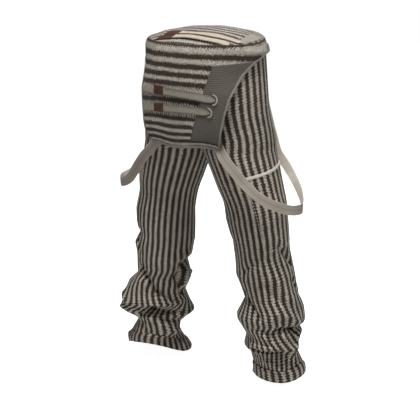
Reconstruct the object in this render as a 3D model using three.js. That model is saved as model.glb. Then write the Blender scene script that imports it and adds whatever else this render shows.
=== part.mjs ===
// Bib overalls in striped knit, worn down: the bib hangs folded over the front of the waist, the back
// yoke lies folded forwards over the waist opening, and the two webbing straps loop round the thighs.
// Millimetres, +Z up, -Y the wearer's front, +X the wearer's left. The hems stand on Z = 0.
import * as THREE from "three";

// ---- Driving dimensions ----------------------------------------------------------------------------
const clothThickness = 3;
const seamGap = 0.4;
const faceGap = 0.4;
const frontToBackShift = 4.4;

// Heights below count from the front of the hem, which rides this far above the floor at the heel.
const heelDrop = 30;
const hemTop = 8;
const meanHemRadius = 80;
const crotchHeight = 670;
const bandBottom = 930;
const bandTop = 965;
const waistTilt = 0.127;
const hipCentreY = -5;

// Hips, from the crotch to the waist: height, half width, half depth.
const hipStations = [
  [670, 200, 116],
  [770, 195, 123],
  [860, 186, 126],
  [930, 179, 126],
  [965, 177, 125],
];

// One leg, from the hem to the crotch: height, centre across, half width, centre in depth, half depth,
// and how many degrees the foot turns out.
const legStations = [
  [0, 222, 68, 45, 88, 20],
  [45, 221, 70, 41, 87, 18],
  [100, 210, 76, 39, 86, 12],
  [165, 207, 87, 33, 95, 6],
  [255, 193, 85, 35, 90, 0],
  [350, 177, 82, 28, 87, 0],
  [440, 163, 84, 23, 90, 0],
  [520, 149, 88, 20, 95, 0],
  [600, 124, 95, 16, 103, 0],
  [670, 100.4, 100, 14, 112, 0],
];

// Side edge of the hanging bib, from the waist to its free corner: height, half width, depth.
const bibEdgeStations = [
  [950, 180, -45],
  [915, 177, -54],
  [898, 174, -66],
  [854, 161, -87],
  [820, 150, -104],
  [774, 140, -114],
  [717, 129, -118],
  [673, 117, -106],
];
// Middle of the hanging bib, from the waist to the free edge: height, depth.
const bibMiddleStations = [
  [957, -139],
  [925, -143],
  [885, -144],
  [845, -144],
  [805, -144],
  [765, -143],
  [724, -140],
  [686, -134],
];
const bibTop = 957;
const bibBottom = 686;
const bibEdgeTop = 950;
const bibEdgeBottom = 673;
// Share of the half width that the cloth reaches, and how much of it a binding takes.
const bibReach = 0.985;
const bindingSpan = 0.034;
const bindingThickness = 1.4;
const ribThickness = 1.2;

const keeperLength = 38;
const keeperLeft = -82;
const keeperThickness = 3.2;
const tabThickness = 1.8;
const loopThickness = 2.4;
// The bib's two tabs: height at the keeper's left end, how far the row falls to the tip, width and
// length of the tab, and length of the pale base beside the keeper.
const bibTabs = [
  { name: "upper", height: 837, fall: 10.5, width: 21, length: 158, baseLength: 56 },
  { name: "lower", height: 788.5, fall: -3, width: 20, length: 145, baseLength: 48 },
];

// The yoke: half width, half depth, thickness and the rise of its middle.
const yokeHalfWidth = 174;
const yokeHalfDepth = 119;
const yokeThickness = 3.6;
const yokeDome = 24;
const yokeDepthCentre = hipCentreY + 2;
// Its two tabs, in shares of the half width and half depth: keeper's ends, tip, and the row's place.
const yokeTabs = [
  { name: "back", keeperLeft: -0.57, keeperRight: -0.295, tip: 0.85, row: -0.43 },
  { name: "front", keeperLeft: -0.62, keeperRight: -0.315, tip: 0.735, row: -0.635 },
];
const yokeTabHalf = 0.082;

const strapWidth = 28;
const strapThickness = 3;
// Middle line of a strap, from the bib's free corner round the thigh to the back of the waist:
// across, depth, height, and how far the ribbon's width leans over from upright.
const strapBack = [
  [314, 0, 527, 0],
  [288, 42, 547, -12],
  [242, 84, 578, -22],
  [197, 114, 608, -28],
  [155, 131, 642, -26],
  [134, 134, 692, -18],
  [113, 134, 760, -8],
  [92, 132, 840, -4],
  [76, 130, 905, -2],
  [70, 129, 932, 0],
];
const leftStrapRoute = [
  [132, -110, 664, 38],
  [168, -113, 632, 42],
  [206, -105, 592, 40],
  [242, -82, 556, 30],
  [275, -56, 537, 22],
  [301, -29, 526, 14],
  ...strapBack,
];
const rightStrapRoute = [
  [110, -112, 666, -26],
  [137, -114, 638, -28],
  [174, -104, 597, -30],
  [214, -83, 558, -26],
  [256, -58, 535, -14],
  [294, -31, 524, -4],
  ...strapBack,
];

// ---- Materials ---------------------------------------------------------------------------------------
const finish = (color, roughness, metalness = 0) =>
  new THREE.MeshStandardMaterial({ color, roughness, metalness, side: THREE.DoubleSide });
const stripedKnit = finish(0x8d8579, 0.95);
const ribbedKnit = finish(0xa09684, 0.95);
const webbing = finish(0xc2b8a6, 0.9);
const tabCotton = finish(0xcfc4ad, 0.85);
const leather = finish(0x4f2c1e, 0.6);
const bindingTape = finish(0x786e62, 0.9);

// ---- Small helpers -------------------------------------------------------------------------------------
const mix = THREE.MathUtils.lerp;
const ease = THREE.MathUtils.smoothstep;

/** Value of column `column` at height `z`, on a smooth curve through stations in any height order. */
function station(stations, z, column) {
  const rising = stations[0][0] < stations[stations.length - 1][0];
  const list = rising ? stations : [...stations].reverse();
  const last = list.length - 1;
  const height = THREE.MathUtils.clamp(z, list[0][0], list[last][0]);
  let k = 0;
  while (k < last - 1 && height > list[k + 1][0]) {
    k += 1;
  }
  const before = list[Math.max(k - 1, 0)];
  const low = list[k];
  const high = list[k + 1];
  const after = list[Math.min(k + 2, last)];
  const span = high[0] - low[0];
  const t = (height - low[0]) / span;
  const slopeLow = ((high[column] - before[column]) / (high[0] - before[0])) * span;
  const slopeHigh = ((after[column] - low[column]) / (after[0] - low[0])) * span;
  const t2 = t * t;
  const t3 = t2 * t;
  return (2 * t3 - 3 * t2 + 1) * low[column] + (t3 - 2 * t2 + t) * slopeLow
    + (3 * t2 - 2 * t3) * high[column] + (t3 - t2) * slopeHigh;
}

/** Six times the signed volume that an indexed set of triangles closes in. */
function signedVolume(points, faces) {
  let total = 0;
  for (let k = 0; k < faces.length; k += 3) {
    const corners = faces.slice(k, k + 3).map((index) => points[index]);
    total += corners[0].dot(new THREE.Vector3().crossVectors(corners[1], corners[2]));
  }
  return total;
}

/** Closed body between two grids of points, `front(u, v)` and `back(u, v)`; a ring joins u = 1 to u = 0. */
function shell(front, back, across, along, ring = false) {
  const columns = ring ? across : across + 1;
  const points = [];
  for (const side of [front, back]) {
    for (let j = 0; j <= along; j += 1) {
      for (let i = 0; i < columns; i += 1) {
        points.push(side(i / across, j / along));
      }
    }
  }
  const at = (side, i, j) => (side * (along + 1) + j) * columns + (i % columns);
  const faces = [];
  const quad = (a, b, c, d) => faces.push(a, b, c, a, c, d);
  for (let i = 0; i < across; i += 1) {
    for (let j = 0; j < along; j += 1) {
      quad(at(0, i, j), at(0, i + 1, j), at(0, i + 1, j + 1), at(0, i, j + 1));
      quad(at(1, i, j), at(1, i, j + 1), at(1, i + 1, j + 1), at(1, i + 1, j));
    }
    quad(at(0, i, 0), at(1, i, 0), at(1, i + 1, 0), at(0, i + 1, 0));
    quad(at(0, i, along), at(0, i + 1, along), at(1, i + 1, along), at(1, i, along));
  }
  for (let j = 0; !ring && j < along; j += 1) {
    quad(at(0, 0, j), at(0, 0, j + 1), at(1, 0, j + 1), at(1, 0, j));
    quad(at(0, across, j), at(1, across, j), at(1, across, j + 1), at(0, across, j + 1));
  }
  if (signedVolume(points, faces) < 0) {
    faces.reverse();
  }
  const geometry = new THREE.BufferGeometry().setFromPoints(points);
  geometry.setIndex(faces);
  geometry.computeVertexNormals();
  return geometry;
}

/** The surface moved along its own normal, which is d/du x d/dv. */
function offset(surface, distance) {
  const step = 0.002;
  return (u, v) => {
    const alongU = surface(Math.min(u + step, 1), v).sub(surface(Math.max(u - step, 0), v));
    const alongV = surface(u, Math.min(v + step, 1)).sub(surface(u, Math.max(v - step, 0)));
    return surface(u, v).addScaledVector(alongU.cross(alongV).normalize(), distance);
  };
}

const overalls = new THREE.Group();
overalls.position.set(0, frontToBackShift, heelDrop);

/** Adds one named piece. */
function piece(name, geometry, material) {
  const mesh = new THREE.Mesh(geometry, material);
  mesh.name = name;
  overalls.add(mesh);
}

// ---- Trousers --------------------------------------------------------------------------------------------
/** Point of the hip oval; angle 0 is the wearer's left side seam and a quarter turn is the front. */
function hipPoint(angle, z) {
  const squareness = 2 / 2.06;
  const soft = (value) => Math.sign(value) * Math.abs(value) ** squareness;
  const x = station(hipStations, z, 1) * soft(Math.cos(angle));
  const y = hipCentreY - station(hipStations, z, 2) * soft(Math.sin(angle));
  const tilt = waistTilt * ease(z, 780, bandBottom) * (y - hipCentreY);
  return new THREE.Vector3(x, y, z + tilt);
}

const upright = new THREE.Vector3(0, 0, 1);

/** Point of one half of the trousers; turn 0 is the outer seam, half a turn forwards is the inner seam. */
function trouserPoint(side, turn, z) {
  const leg = new THREE.Vector3(
    station(legStations, z, 2) * Math.cos(turn),
    -station(legStations, z, 4) * Math.sin(turn),
    0,
  );
  leg.applyAxisAngle(upright, THREE.MathUtils.degToRad(station(legStations, z, 5)));
  leg.add(new THREE.Vector3(station(legStations, z, 1), station(legStations, z, 3), z));
  const point = leg.lerp(hipPoint(turn / 2, z), ease(z, crotchHeight, crotchHeight + 125));
  point.x = side * Math.max(point.x, seamGap / 2);
  return point;
}

for (const [side, sideName] of [[1, "left"], [-1, "right"]]) {
  for (const [facing, facingName] of [[1, "front"], [-1, "back"]]) {
    const outside = (u, v) => trouserPoint(
      side,
      facing * mix(0.004, Math.PI - 0.004, u),
      mix(hemTop + seamGap, bandBottom - seamGap, v),
    );
    const inside = offset(outside, side * facing * clothThickness);
    piece(`${sideName}_${facingName}_panel`, shell(outside, inside, 14, 24), stripedKnit);
  }
  const hemOutside = (u, v) => trouserPoint(side, mix(-Math.PI, Math.PI, u), mix(-heelDrop, hemTop, v));
  const hemInside = (u, v) => {
    const point = hemOutside(u, v);
    const across = side * station(legStations, point.z, 1);
    const middle = new THREE.Vector3(across, station(legStations, point.z, 3), point.z);
    return point.lerp(middle, (clothThickness + 1) / meanHemRadius);
  };
  piece(`${sideName}_hem`, shell(hemOutside, hemInside, 32, 1, true), stripedKnit);
}

for (const [name, start, end] of [["front_waistband", 0, Math.PI], ["back_waistband", -Math.PI, 0]]) {
  const outside = (u, v) => hipPoint(mix(start + 0.004, end - 0.004, u), mix(bandBottom, bandTop, v));
  piece(name, shell(outside, offset(outside, clothThickness), 24, 1), stripedKnit);
}

// ---- Thigh pockets ----------------------------------------------------------------------------------------
const pocketThickness = 1.6;
const pipingThickness = 3;

/** Point of a pocket, u from its front edge to its back edge and v from the bottom to the slanted top. */
function pocketPoint(side, u, v) {
  const turn = mix(mix(0.9, 1.06, v), mix(-0.32, -0.5, v), u);
  const z = mix(mix(388, 406, u), mix(598, 626, u), v);
  return trouserPoint(side, turn, z);
}

for (const [side, sideName] of [[1, "left"], [-1, "right"]]) {
  const cloth = (u, v) => pocketPoint(side, u, v);
  const under = offset(cloth, side * faceGap);
  const over = offset(cloth, side * (faceGap + pocketThickness));
  piece(`${sideName}_thigh_pocket`, shell(over, under, 10, 10), stripedKnit);
  const rim = (u, v) => pocketPoint(side, u, mix(1.004, 1.034, v));
  const piping = shell(offset(rim, side * (faceGap + pipingThickness)), offset(rim, side * faceGap), 12, 1);
  piece(`${sideName}_pocket_piping`, piping, bindingTape);
}

// ---- Bib, hanging folded over the front of the waist -----------------------------------------------------
/** Point of the bib's outer face; s runs from -1 to 1 between the side edges and t from waist to hem. */
function bibFace(s, t) {
  const zMiddle = mix(bibTop, bibBottom, t);
  const zEdge = mix(bibEdgeTop, bibEdgeBottom, t);
  const wrap = mix(0.965, 0.6, t);
  const bend = (1 - Math.sqrt(1 - (wrap * s) ** 2)) / (1 - Math.sqrt(1 - wrap ** 2));
  const x = s * station(bibEdgeStations, zEdge, 1);
  const y = mix(station(bibMiddleStations, zMiddle, 1), station(bibEdgeStations, zEdge, 2), bend);
  return new THREE.Vector3(x, y, mix(zMiddle, zEdge, bend));
}

/** Point of the bib's outer face at a distance across and a height on its middle line. */
function bibAt(x, z) {
  const t = (bibTop - z) / (bibTop - bibBottom);
  const zEdge = mix(bibEdgeTop, bibEdgeBottom, t);
  return bibFace(x / station(bibEdgeStations, zEdge, 1), t);
}

/** Flat piece sewn on a face; place(u, v) lies on the face and its normal must point out. */
function sewnOn(name, place, lift, thickness, across, along, material) {
  piece(name, shell(offset(place, lift + thickness), offset(place, lift), across, along), material);
}

const bibOutside = (u, v) => bibFace(mix(-bibReach, bibReach, u), mix(1, 0, v));
piece("bib_panel", shell(bibOutside, offset(bibOutside, -clothThickness), 32, 14), stripedKnit);

for (const [side, sideName] of [[1, "left"], [-1, "right"]]) {
  const strip = (u, v) => {
    const share = side > 0 ? u : 1 - u;
    return bibFace(side * mix(bibReach - bindingSpan, bibReach, share), mix(0.965, 0.02, v));
  };
  sewnOn(`${sideName}_edge_binding`, strip, 2 * faceGap, bindingThickness, 1, 14, bindingTape);
}
const bottomStrip = (u, v) => bibFace(mix(-bibReach, bibReach, u), mix(1, 0.972, v));
sewnOn("bottom_binding", bottomStrip, 2 * faceGap, bindingThickness, 20, 1, bindingTape);

// The rib panel's inner edge slants from near the middle at the free edge to farther out at the top.
const ribPlace = (u, v) => {
  const t = mix(0.925, 0.175, v);
  const edge = station(bibEdgeStations, mix(bibEdgeTop, bibEdgeBottom, t), 1);
  const inner = mix(42, 101, v) / edge;
  return bibFace(mix(inner, bibReach - bindingSpan - 0.006, u), t);
};
sewnOn("rib_panel", ribPlace, 2 * faceGap, ribThickness, 8, 14, ribbedKnit);

/** Half height of a tab along its length, as a share: straight, with a round tip. */
function tabOutline(u, tipShare) {
  const intoTip = Math.max((u - 1 + tipShare) / tipShare, 0);
  return Math.sqrt(Math.max(1 - intoTip ** 2, 0.04));
}

for (const { name, height, fall, width, length, baseLength } of bibTabs) {
  const keeperRight = keeperLeft + keeperLength;
  const row = (x) => height - (fall * (x - keeperLeft)) / (keeperLength + length);
  const strip = (left, right, tall) => (u, v) => {
    const x = mix(left, right, u);
    return bibAt(x, row(x) + mix(-tall, tall, v) / 2);
  };
  const base = strip(keeperLeft - baseLength, keeperLeft - 0.5, width + 1);
  sewnOn(`${name}_tab_base`, base, 2 * faceGap, 1.5, 6, 1, tabCotton);
  const keeper = strip(keeperLeft, keeperRight, width + 4);
  sewnOn(`${name}_keeper`, keeper, faceGap, keeperThickness, 4, 1, leather);
  const tab = (u, v) => {
    const half = (width / 2) * tabOutline(u, 0.16);
    const x = keeperRight + 1 + u * length;
    return bibAt(x, row(x) + mix(-half, half, v));
  };
  sewnOn(`${name}_tab`, tab, 2.6, tabThickness, 24, 2, tabCotton);
  const loop = (u, v) => {
    const angle = mix(-1.25, 1.25, v);
    const reach = mix(width / 2 + 1.5, width / 2 + 5, u);
    const centre = keeperRight + 1 + length - width / 2 + 1;
    return bibAt(centre + reach * Math.cos(angle), row(centre) + reach * Math.sin(angle));
  };
  sewnOn(`${name}_tip_loop`, loop, 2.6, loopThickness, 1, 10, webbing);
}

for (const [side, sideName] of [[1, "left"], [-1, "right"]]) {
  const patch = (u, v) => bibFace(side * mix(0.8, 0.97, side > 0 ? u : 1 - u), mix(0.95, 0.87, v));
  const back = shell(offset(patch, -clothThickness - faceGap), offset(patch, -clothThickness - 2.4), 2, 2);
  piece(`${sideName}_strap_patch`, back, webbing);
}

// ---- Yoke, lying folded over the waist opening ------------------------------------------------
/** Point of the yoke's upper face over a place in plan, in shares of its half width and half depth. */
function yokeAt(x, y) {
  const dome = yokeDome * Math.max(1 - x * x - y * y, 0) ** 0.8;
  const rim = bandTop + 0.5 + waistTilt * y * yokeHalfDepth;
  const z = rim + yokeThickness + dome;
  return new THREE.Vector3(x * yokeHalfWidth, yokeDepthCentre + y * yokeHalfDepth, z);
}

/** Point of the yoke's upper face; a and b run from -1 to 1 across and from front to back. */
function yokeFace(a, b) {
  return yokeAt(a * Math.sqrt(1 - (b * b) / 2), b * Math.sqrt(1 - (a * a) / 2));
}

const yokeTop = (u, v) => yokeFace(mix(-1, 1, u), mix(-1, 1, v));
const yokeUnder = (u, v) => yokeTop(u, v).add(new THREE.Vector3(0, 0, -yokeThickness));
piece("yoke_panel", shell(yokeTop, yokeUnder, 18, 14), stripedKnit);

const yokeRim = (u, v) => yokeFace(mix(-0.96, 0.96, u), mix(-1, -0.955, v));
sewnOn("yoke_edge_binding", yokeRim, faceGap, bindingThickness, 20, 1, bindingTape);

// The yoke's rib panel runs out to the left side of its rim.
const yokeRib = (u, v) => {
  const y = mix(-0.42, 0.2, v);
  const rim = Math.sqrt(1 - y * y) - 0.03;
  return yokeAt(mix(0.78, rim, u), y);
};
sewnOn("yoke_rib_panel", yokeRib, faceGap, ribThickness, 5, 8, ribbedKnit);

for (const { name, keeperLeft: left, keeperRight: right, tip, row } of yokeTabs) {
  const keeper = (u, v) => {
    const half = yokeTabHalf + 0.01;
    return yokeAt(mix(left, right, u), row + mix(-half, half, v));
  };
  sewnOn(`yoke_${name}_keeper`, keeper, 3 * faceGap, keeperThickness, 4, 2, leather);
  const tab = (u, v) => {
    const half = yokeTabHalf * tabOutline(u, 0.12);
    return yokeAt(mix(right + 0.006, tip, u), row + mix(-half, half, v));
  };
  sewnOn(`yoke_${name}_tab`, tab, 2.2, tabThickness, 20, 2, tabCotton);
}

// ---- Straps --------------------------------------------------------------------------------
/** Frame of a strap at v: its middle line, the direction of its width and its face normal. */
function strapFrame(side, v) {
  const route = side > 0 ? leftStrapRoute : rightStrapRoute;
  const points = route.map(([x, y, z]) => new THREE.Vector3(side * x, y, z));
  const curve = new THREE.CatmullRomCurve3(points, false, "centripetal");
  const middle = curve.getPoint(v);
  const along = curve.getTangent(v);
  const place = v * (route.length - 1);
  const k = Math.min(Math.floor(place), route.length - 2);
  const lean = THREE.MathUtils.degToRad(mix(route[k][3], route[k + 1][3], place - k));
  const outward = new THREE.Vector3().crossVectors(along, upright).normalize().multiplyScalar(side);
  const rise = new THREE.Vector3().crossVectors(outward, along).normalize().multiplyScalar(side);
  const width = rise.multiplyScalar(Math.cos(lean)).addScaledVector(outward, -Math.sin(lean));
  const normal = new THREE.Vector3().crossVectors(width, along).normalize();
  return { middle, width, normal };
}

for (const [side, sideName] of [[1, "left"], [-1, "right"]]) {
  const face = (sign) => (u, v) => {
    const { middle, width, normal } = strapFrame(side, v);
    middle.addScaledVector(width, (u - 0.5) * strapWidth);
    return middle.addScaledVector(normal, (sign * strapThickness) / 2);
  };
  piece(`${sideName}_strap`, shell(face(1), face(-1), 1, 60), webbing);
  const tack = (u, v) => hipPoint(-Math.PI / 2 + side * mix(0.26, 0.5, u), mix(934, 961, v));
  sewnOn(`${sideName}_strap_tack`, tack, -side * faceGap, -side * 2, 2, 1, webbing);
}

export default overalls;
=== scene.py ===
"""Striped knit bib overalls, worn down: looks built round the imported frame.

Metres, +Z up, -Y the wearer's front, +X the wearer's left. The hems stand on Z = 0.
"""
import logging
import math
from dataclasses import dataclass, field
from enum import Enum
from typing import Callable, Iterable, Sequence

import bpy
import numpy as np
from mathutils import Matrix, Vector


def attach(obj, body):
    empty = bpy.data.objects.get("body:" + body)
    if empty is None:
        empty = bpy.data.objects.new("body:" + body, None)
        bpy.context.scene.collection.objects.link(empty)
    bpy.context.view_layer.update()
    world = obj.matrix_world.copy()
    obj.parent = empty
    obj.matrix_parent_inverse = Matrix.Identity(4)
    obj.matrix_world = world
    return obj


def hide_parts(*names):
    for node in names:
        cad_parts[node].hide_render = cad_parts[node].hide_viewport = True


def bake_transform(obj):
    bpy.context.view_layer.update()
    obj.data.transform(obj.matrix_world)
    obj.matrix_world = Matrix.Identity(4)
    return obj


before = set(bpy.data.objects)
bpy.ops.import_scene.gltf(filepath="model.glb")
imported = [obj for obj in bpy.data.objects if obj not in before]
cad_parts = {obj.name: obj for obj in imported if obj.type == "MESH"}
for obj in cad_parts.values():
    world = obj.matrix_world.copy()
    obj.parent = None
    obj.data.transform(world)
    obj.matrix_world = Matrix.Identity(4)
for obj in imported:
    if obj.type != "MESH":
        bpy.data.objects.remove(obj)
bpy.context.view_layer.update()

log = logging.getLogger("overalls")
Array = np.ndarray
Rows = tuple[tuple[float, ...], ...]

# ---- Driving sizes -------------------------------------------------------------------------------
HEEL_DROP = 0.030        # the front of a hem rides this far above the floor
DEPTH_SHIFT = 0.0044     # the cut's own middle lies this far in front of the frame's
CLOTH_THICKNESS = 0.0026
STRIPE_PITCH = 0.0205
PANEL_STRIPES = 15
CROTCH_HEIGHT = 0.670
BAND_BOTTOM = 0.930
BAND_TOP = 0.965
HEM_BAND = 0.033
SEAM_GAP = 0.0005


class Body(Enum):
    """The bodies that pieces ride on."""

    TROUSERS = "trousers"
    BIB = "bib"
    YOKE = "yoke"
    UPPER_TAB = "upper_tab"
    LOWER_TAB = "lower_tab"
    YOKE_BACK_TAB = "yoke_back_tab"
    YOKE_FRONT_TAB = "yoke_front_tab"


class Slot(Enum):
    """The record's material slots."""

    STRIPED_KNIT = "striped_knit"
    RIBBED_KNIT = "ribbed_knit"
    WEBBING = "webbing"
    TAB_COTTON = "tab_cotton"
    LEATHER = "leather"
    BINDING_TAPE = "binding_tape"


class Side(Enum):
    """The wearer's two sides, with the sign of X on each."""

    LEFT = 1
    RIGHT = -1

    @property
    def word(self) -> str:
        """The side's name in lower case."""
        return self.name.lower()

    def mirrored(self, share: Array) -> Array:
        """Shares across a piece, reversed on the right so that the mirrored face points out."""
        return share if self is Side.LEFT else 1 - share


# ---- Numbers and curves ----------------------------------------------------------------------------
def mix(low: Array | float, high: Array | float, share: Array | float) -> Array | float:
    """Value between low and high at a share from 0 to 1."""
    return low + (high - low) * share


def ease(value: Array | float, low: float, high: float) -> Array:
    """Smooth step from 0 at low to 1 at high."""
    share = np.clip((np.asarray(value, float) - low) / (high - low), 0, 1)
    return share * share * (3 - 2 * share)


def station(rows: Rows, height: Array | float, column: int) -> Array:
    """Reads one column of listed stations on a smooth curve.

    Args:
        rows: Stations whose first number is the height, in falling or rising order.
        height: Heights to read at; outside the stations the end values hold.
        column: Which number of a station to read.

    Returns:
        The values, shaped like height.
    """
    table = np.array(sorted(rows), float)
    knots, values = table[:, 0], table[:, column]
    height = np.clip(np.asarray(height, float), knots[0], knots[-1])
    low = np.clip(np.searchsorted(knots, height, side="right") - 1, 0, len(knots) - 2)
    before, after = np.maximum(low - 1, 0), np.minimum(low + 2, len(knots) - 1)
    span = knots[low + 1] - knots[low]
    share = (height - knots[low]) / span
    slope_low = (values[low + 1] - values[before]) / (knots[low + 1] - knots[before]) * span
    slope_high = (values[after] - values[low]) / (knots[after] - knots[low]) * span
    square, cube = share**2, share**3
    return (
        (2 * cube - 3 * square + 1) * values[low]
        + (cube - 2 * square + share) * slope_low
        + (3 * square - 2 * cube) * values[low + 1]
        + (cube - square) * slope_high
    )


def grid(columns: int, rows: int) -> tuple[Array, Array]:
    """Two arrays of shares u (across) and v (along), rows + 1 by columns + 1."""
    return np.meshgrid(np.linspace(0, 1, columns + 1), np.linspace(0, 1, rows + 1))


def points(x: Array, y: Array, z: Array) -> Array:
    """Joins three arrays of coordinates into an array of points."""
    return np.stack(np.broadcast_arrays(x, y, z), axis=-1).astype(float)


def unit(vectors: Array) -> Array:
    """The vectors at length 1."""
    return vectors / np.maximum(np.linalg.norm(vectors, axis=-1, keepdims=True), 1e-12)


def normals(surface: Array) -> Array:
    """Normals of a grid of points.

    Args:
        surface: The grid; u runs along its rows and v from row to row.

    Returns:
        Unit vectors along d/du x d/dv.
    """
    across = np.gradient(surface, axis=1)
    along = np.gradient(surface, axis=0)
    return unit(np.cross(across, along))


def arc(surface: Array, axis: int) -> Array:
    """Distance along a grid, counted from its first line.

    Args:
        surface: The grid of points.
        axis: 1 to go along the rows, 0 to go along the columns.

    Returns:
        The distance at each point.
    """
    steps = np.linalg.norm(np.diff(surface, axis=axis), axis=-1)
    pad = [(0, 0), (0, 0)]
    pad[axis] = (1, 0)
    return np.cumsum(np.pad(steps, pad), axis=axis)


def lifted(surface: Array, distance: Array | float) -> Array:
    """The grid moved along its normals."""
    return surface + normals(surface) * np.asarray(distance)[..., None]


def faces_away(surface: Array, x: float, y: float) -> bool:
    """Whether a grid's normals point away from an upright line at x and y."""
    away = surface - points(x, y, surface[..., 2])
    return bool(np.sum(normals(surface) * away) > 0)


def line_facing(line: Array, above: Array) -> Array:
    """Normals of the cloth along a level line, from a second line just above it."""
    return unit(np.cross(np.gradient(line, axis=0), above - line))


def tip_taper(place: Array, end: float, tip: float) -> Array:
    """Share of the full width at each place of a strip whose tip is round."""
    round_off = np.clip((place - (end - tip)) / tip, 0, 1)
    return np.sqrt(np.maximum(1 - round_off**2, 0.01))


# ---- Meshes ----------------------------------------------------------------------------------------
def make_object(name: str, vertices: Array, faces: Iterable[Sequence[int]]) -> bpy.types.Object:
    """Puts a mesh into the scene.

    Args:
        name: The object's name.
        vertices: The mesh's points.
        faces: Each face's corners, as indices into the points.

    Returns:
        The object.
    """
    mesh = bpy.data.meshes.new(name)
    mesh.from_pydata(np.asarray(vertices).tolist(), [], np.asarray(faces).tolist())
    thing = bpy.data.objects.new(name, mesh)
    bpy.context.scene.collection.objects.link(thing)
    return thing


def turned_outward(vertices: Array, faces: Array) -> bool:
    """Whether a closed mesh's faces already point out.

    Args:
        vertices: The mesh's points.
        faces: Four corners of each face.

    Returns:
        True where the volume that the faces enclose is positive.
    """
    a, b, c = (vertices[faces[:, k]] for k in (0, 1, 2))
    d = vertices[faces[:, 3]]
    volume = np.einsum("ij,ij->", a, np.cross(b, c)) + np.einsum("ij,ij->", a, np.cross(c, d))
    return bool(volume > 0)


def shell(
    name: str,
    outside: Array,
    thickness: float,
    lay: Array,
    weave: Array,
    ring: bool = False,
    rounding: float = 0.0008,
) -> bpy.types.Object:
    """A closed piece of cloth between a grid of points and the same grid moved inwards.

    Args:
        name: The object's name.
        outside: Grid of points of the shown face; its normals d/du x d/dv point out.
        thickness: How thick the cloth is.
        lay: Grid of (stripe count, distance along the stripe), for the material.
        weave: Grid of (distance across, distance along) the fabric, in metres.
        ring: Whether the last column is the first one again.
        rounding: Radius of the rounded edges; 0 leaves them square.

    Returns:
        The object, with material slot 0 on the shown face and 1 on the reverse.
    """
    rows, columns = outside.shape[:2]
    facing = normals(outside)
    if ring:
        seam = unit(facing[:, 0] + facing[:, -1])
        facing[:, 0] = facing[:, -1] = seam
    inside = outside - facing * thickness
    kept = columns - 1 if ring else columns
    vertices = np.concatenate([outside[:, :kept].reshape(-1, 3), inside[:, :kept].reshape(-1, 3)])
    j, i = np.meshgrid(np.arange(rows - 1), np.arange(columns - 1), indexing="ij")
    j, i = j.ravel(), i.ravel()
    zero, one = np.zeros_like(j), np.ones_like(j)

    def corner(side: Array, row: Array, column: Array) -> Array:
        """Index of a grid corner on one face, counted over whole columns."""
        return (side * rows + row) * columns + column

    shown = np.stack(
        [corner(zero, j, i), corner(zero, j, i + 1), corner(zero, j + 1, i + 1), corner(zero, j + 1, i)],
        axis=1,
    )
    reverse = (shown + rows * columns)[:, ::-1]
    rims = []
    span = np.arange(columns - 1)
    for row, order in ((0, 1), (rows - 1, -1)):
        line = np.full_like(span, row)
        rim = [
            corner(0, line, span), corner(1, line, span),
            corner(1, line, span + 1), corner(0, line, span + 1),
        ]
        rims.append(np.stack(rim[::order], axis=1))
    span = np.arange(rows - 1)
    for column, order in () if ring else ((0, -1), (columns - 1, 1)):
        line = np.full_like(span, column)
        rim = [
            corner(0, span, line), corner(1, span, line),
            corner(1, span + 1, line), corner(0, span + 1, line),
        ]
        rims.append(np.stack(rim[::order], axis=1))
    corners = np.concatenate([shown, reverse, *rims])
    side, rest = np.divmod(corners, rows * columns)
    row, column = np.divmod(rest, columns)
    faces = (side * rows + row) * kept + column % kept
    if not turned_outward(vertices, faces):
        faces, corners = faces[:, ::-1], corners[:, ::-1]
        row, column = row[:, ::-1], column[:, ::-1]
    thing = make_object(name, vertices, faces)
    mesh = thing.data
    for layer, values in (("lay", lay), ("weave", weave)):
        uv = mesh.uv_layers.new(name=layer)
        uv.data.foreach_set("uv", values[row.ravel(), column.ravel()].astype(np.float32).ravel())
    index = np.zeros(len(faces), np.int32)
    index[len(shown):2 * len(shown)] = 1
    mesh.polygons.foreach_set("material_index", index)
    mesh.polygons.foreach_set("use_smooth", np.ones(len(faces), bool))
    if rounding:
        bevel = thing.modifiers.new("rounded_edges", "BEVEL")
        bevel.width = rounding
        bevel.segments = 2
        bevel.limit_method = "ANGLE"
        bevel.angle_limit = math.radians(62)
        settle(thing)
    thing.data.set_sharp_from_angle(angle=math.radians(55))
    return thing


def settle(thing: bpy.types.Object) -> None:
    """Applies an object's modifiers to its mesh.

    Args:
        thing: The object; it keeps its name, and its modifiers are gone afterwards.
    """
    bpy.context.view_layer.update()
    graph = bpy.context.evaluated_depsgraph_get()
    shown = thing.evaluated_get(graph)
    mesh = bpy.data.meshes.new_from_object(shown, preserve_all_data_layers=True, depsgraph=graph)
    thing.modifiers.clear()
    thing.data = mesh


def sewn(
    name: str,
    place: Callable[[Array, Array], Array],
    columns: int,
    rows: int,
    lift: float,
    thickness: float,
) -> bpy.types.Object:
    """A flat piece sewn on a face.

    Args:
        name: The object's name.
        place: Gives the point of the face under shares u and v; its normal points out.
        columns: Steps across.
        rows: Steps along.
        lift: Gap between the face and the piece's back.
        thickness: How thick the piece is.

    Returns:
        The object; its lay is its shares and its weave is in metres.
    """
    u, v = grid(columns, rows)
    base = place(u, v)
    weave = np.stack([arc(base, 1), arc(base, 0)], axis=-1)
    return shell(name, lifted(base, lift + thickness), thickness, np.stack([u, v], -1), weave)


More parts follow.
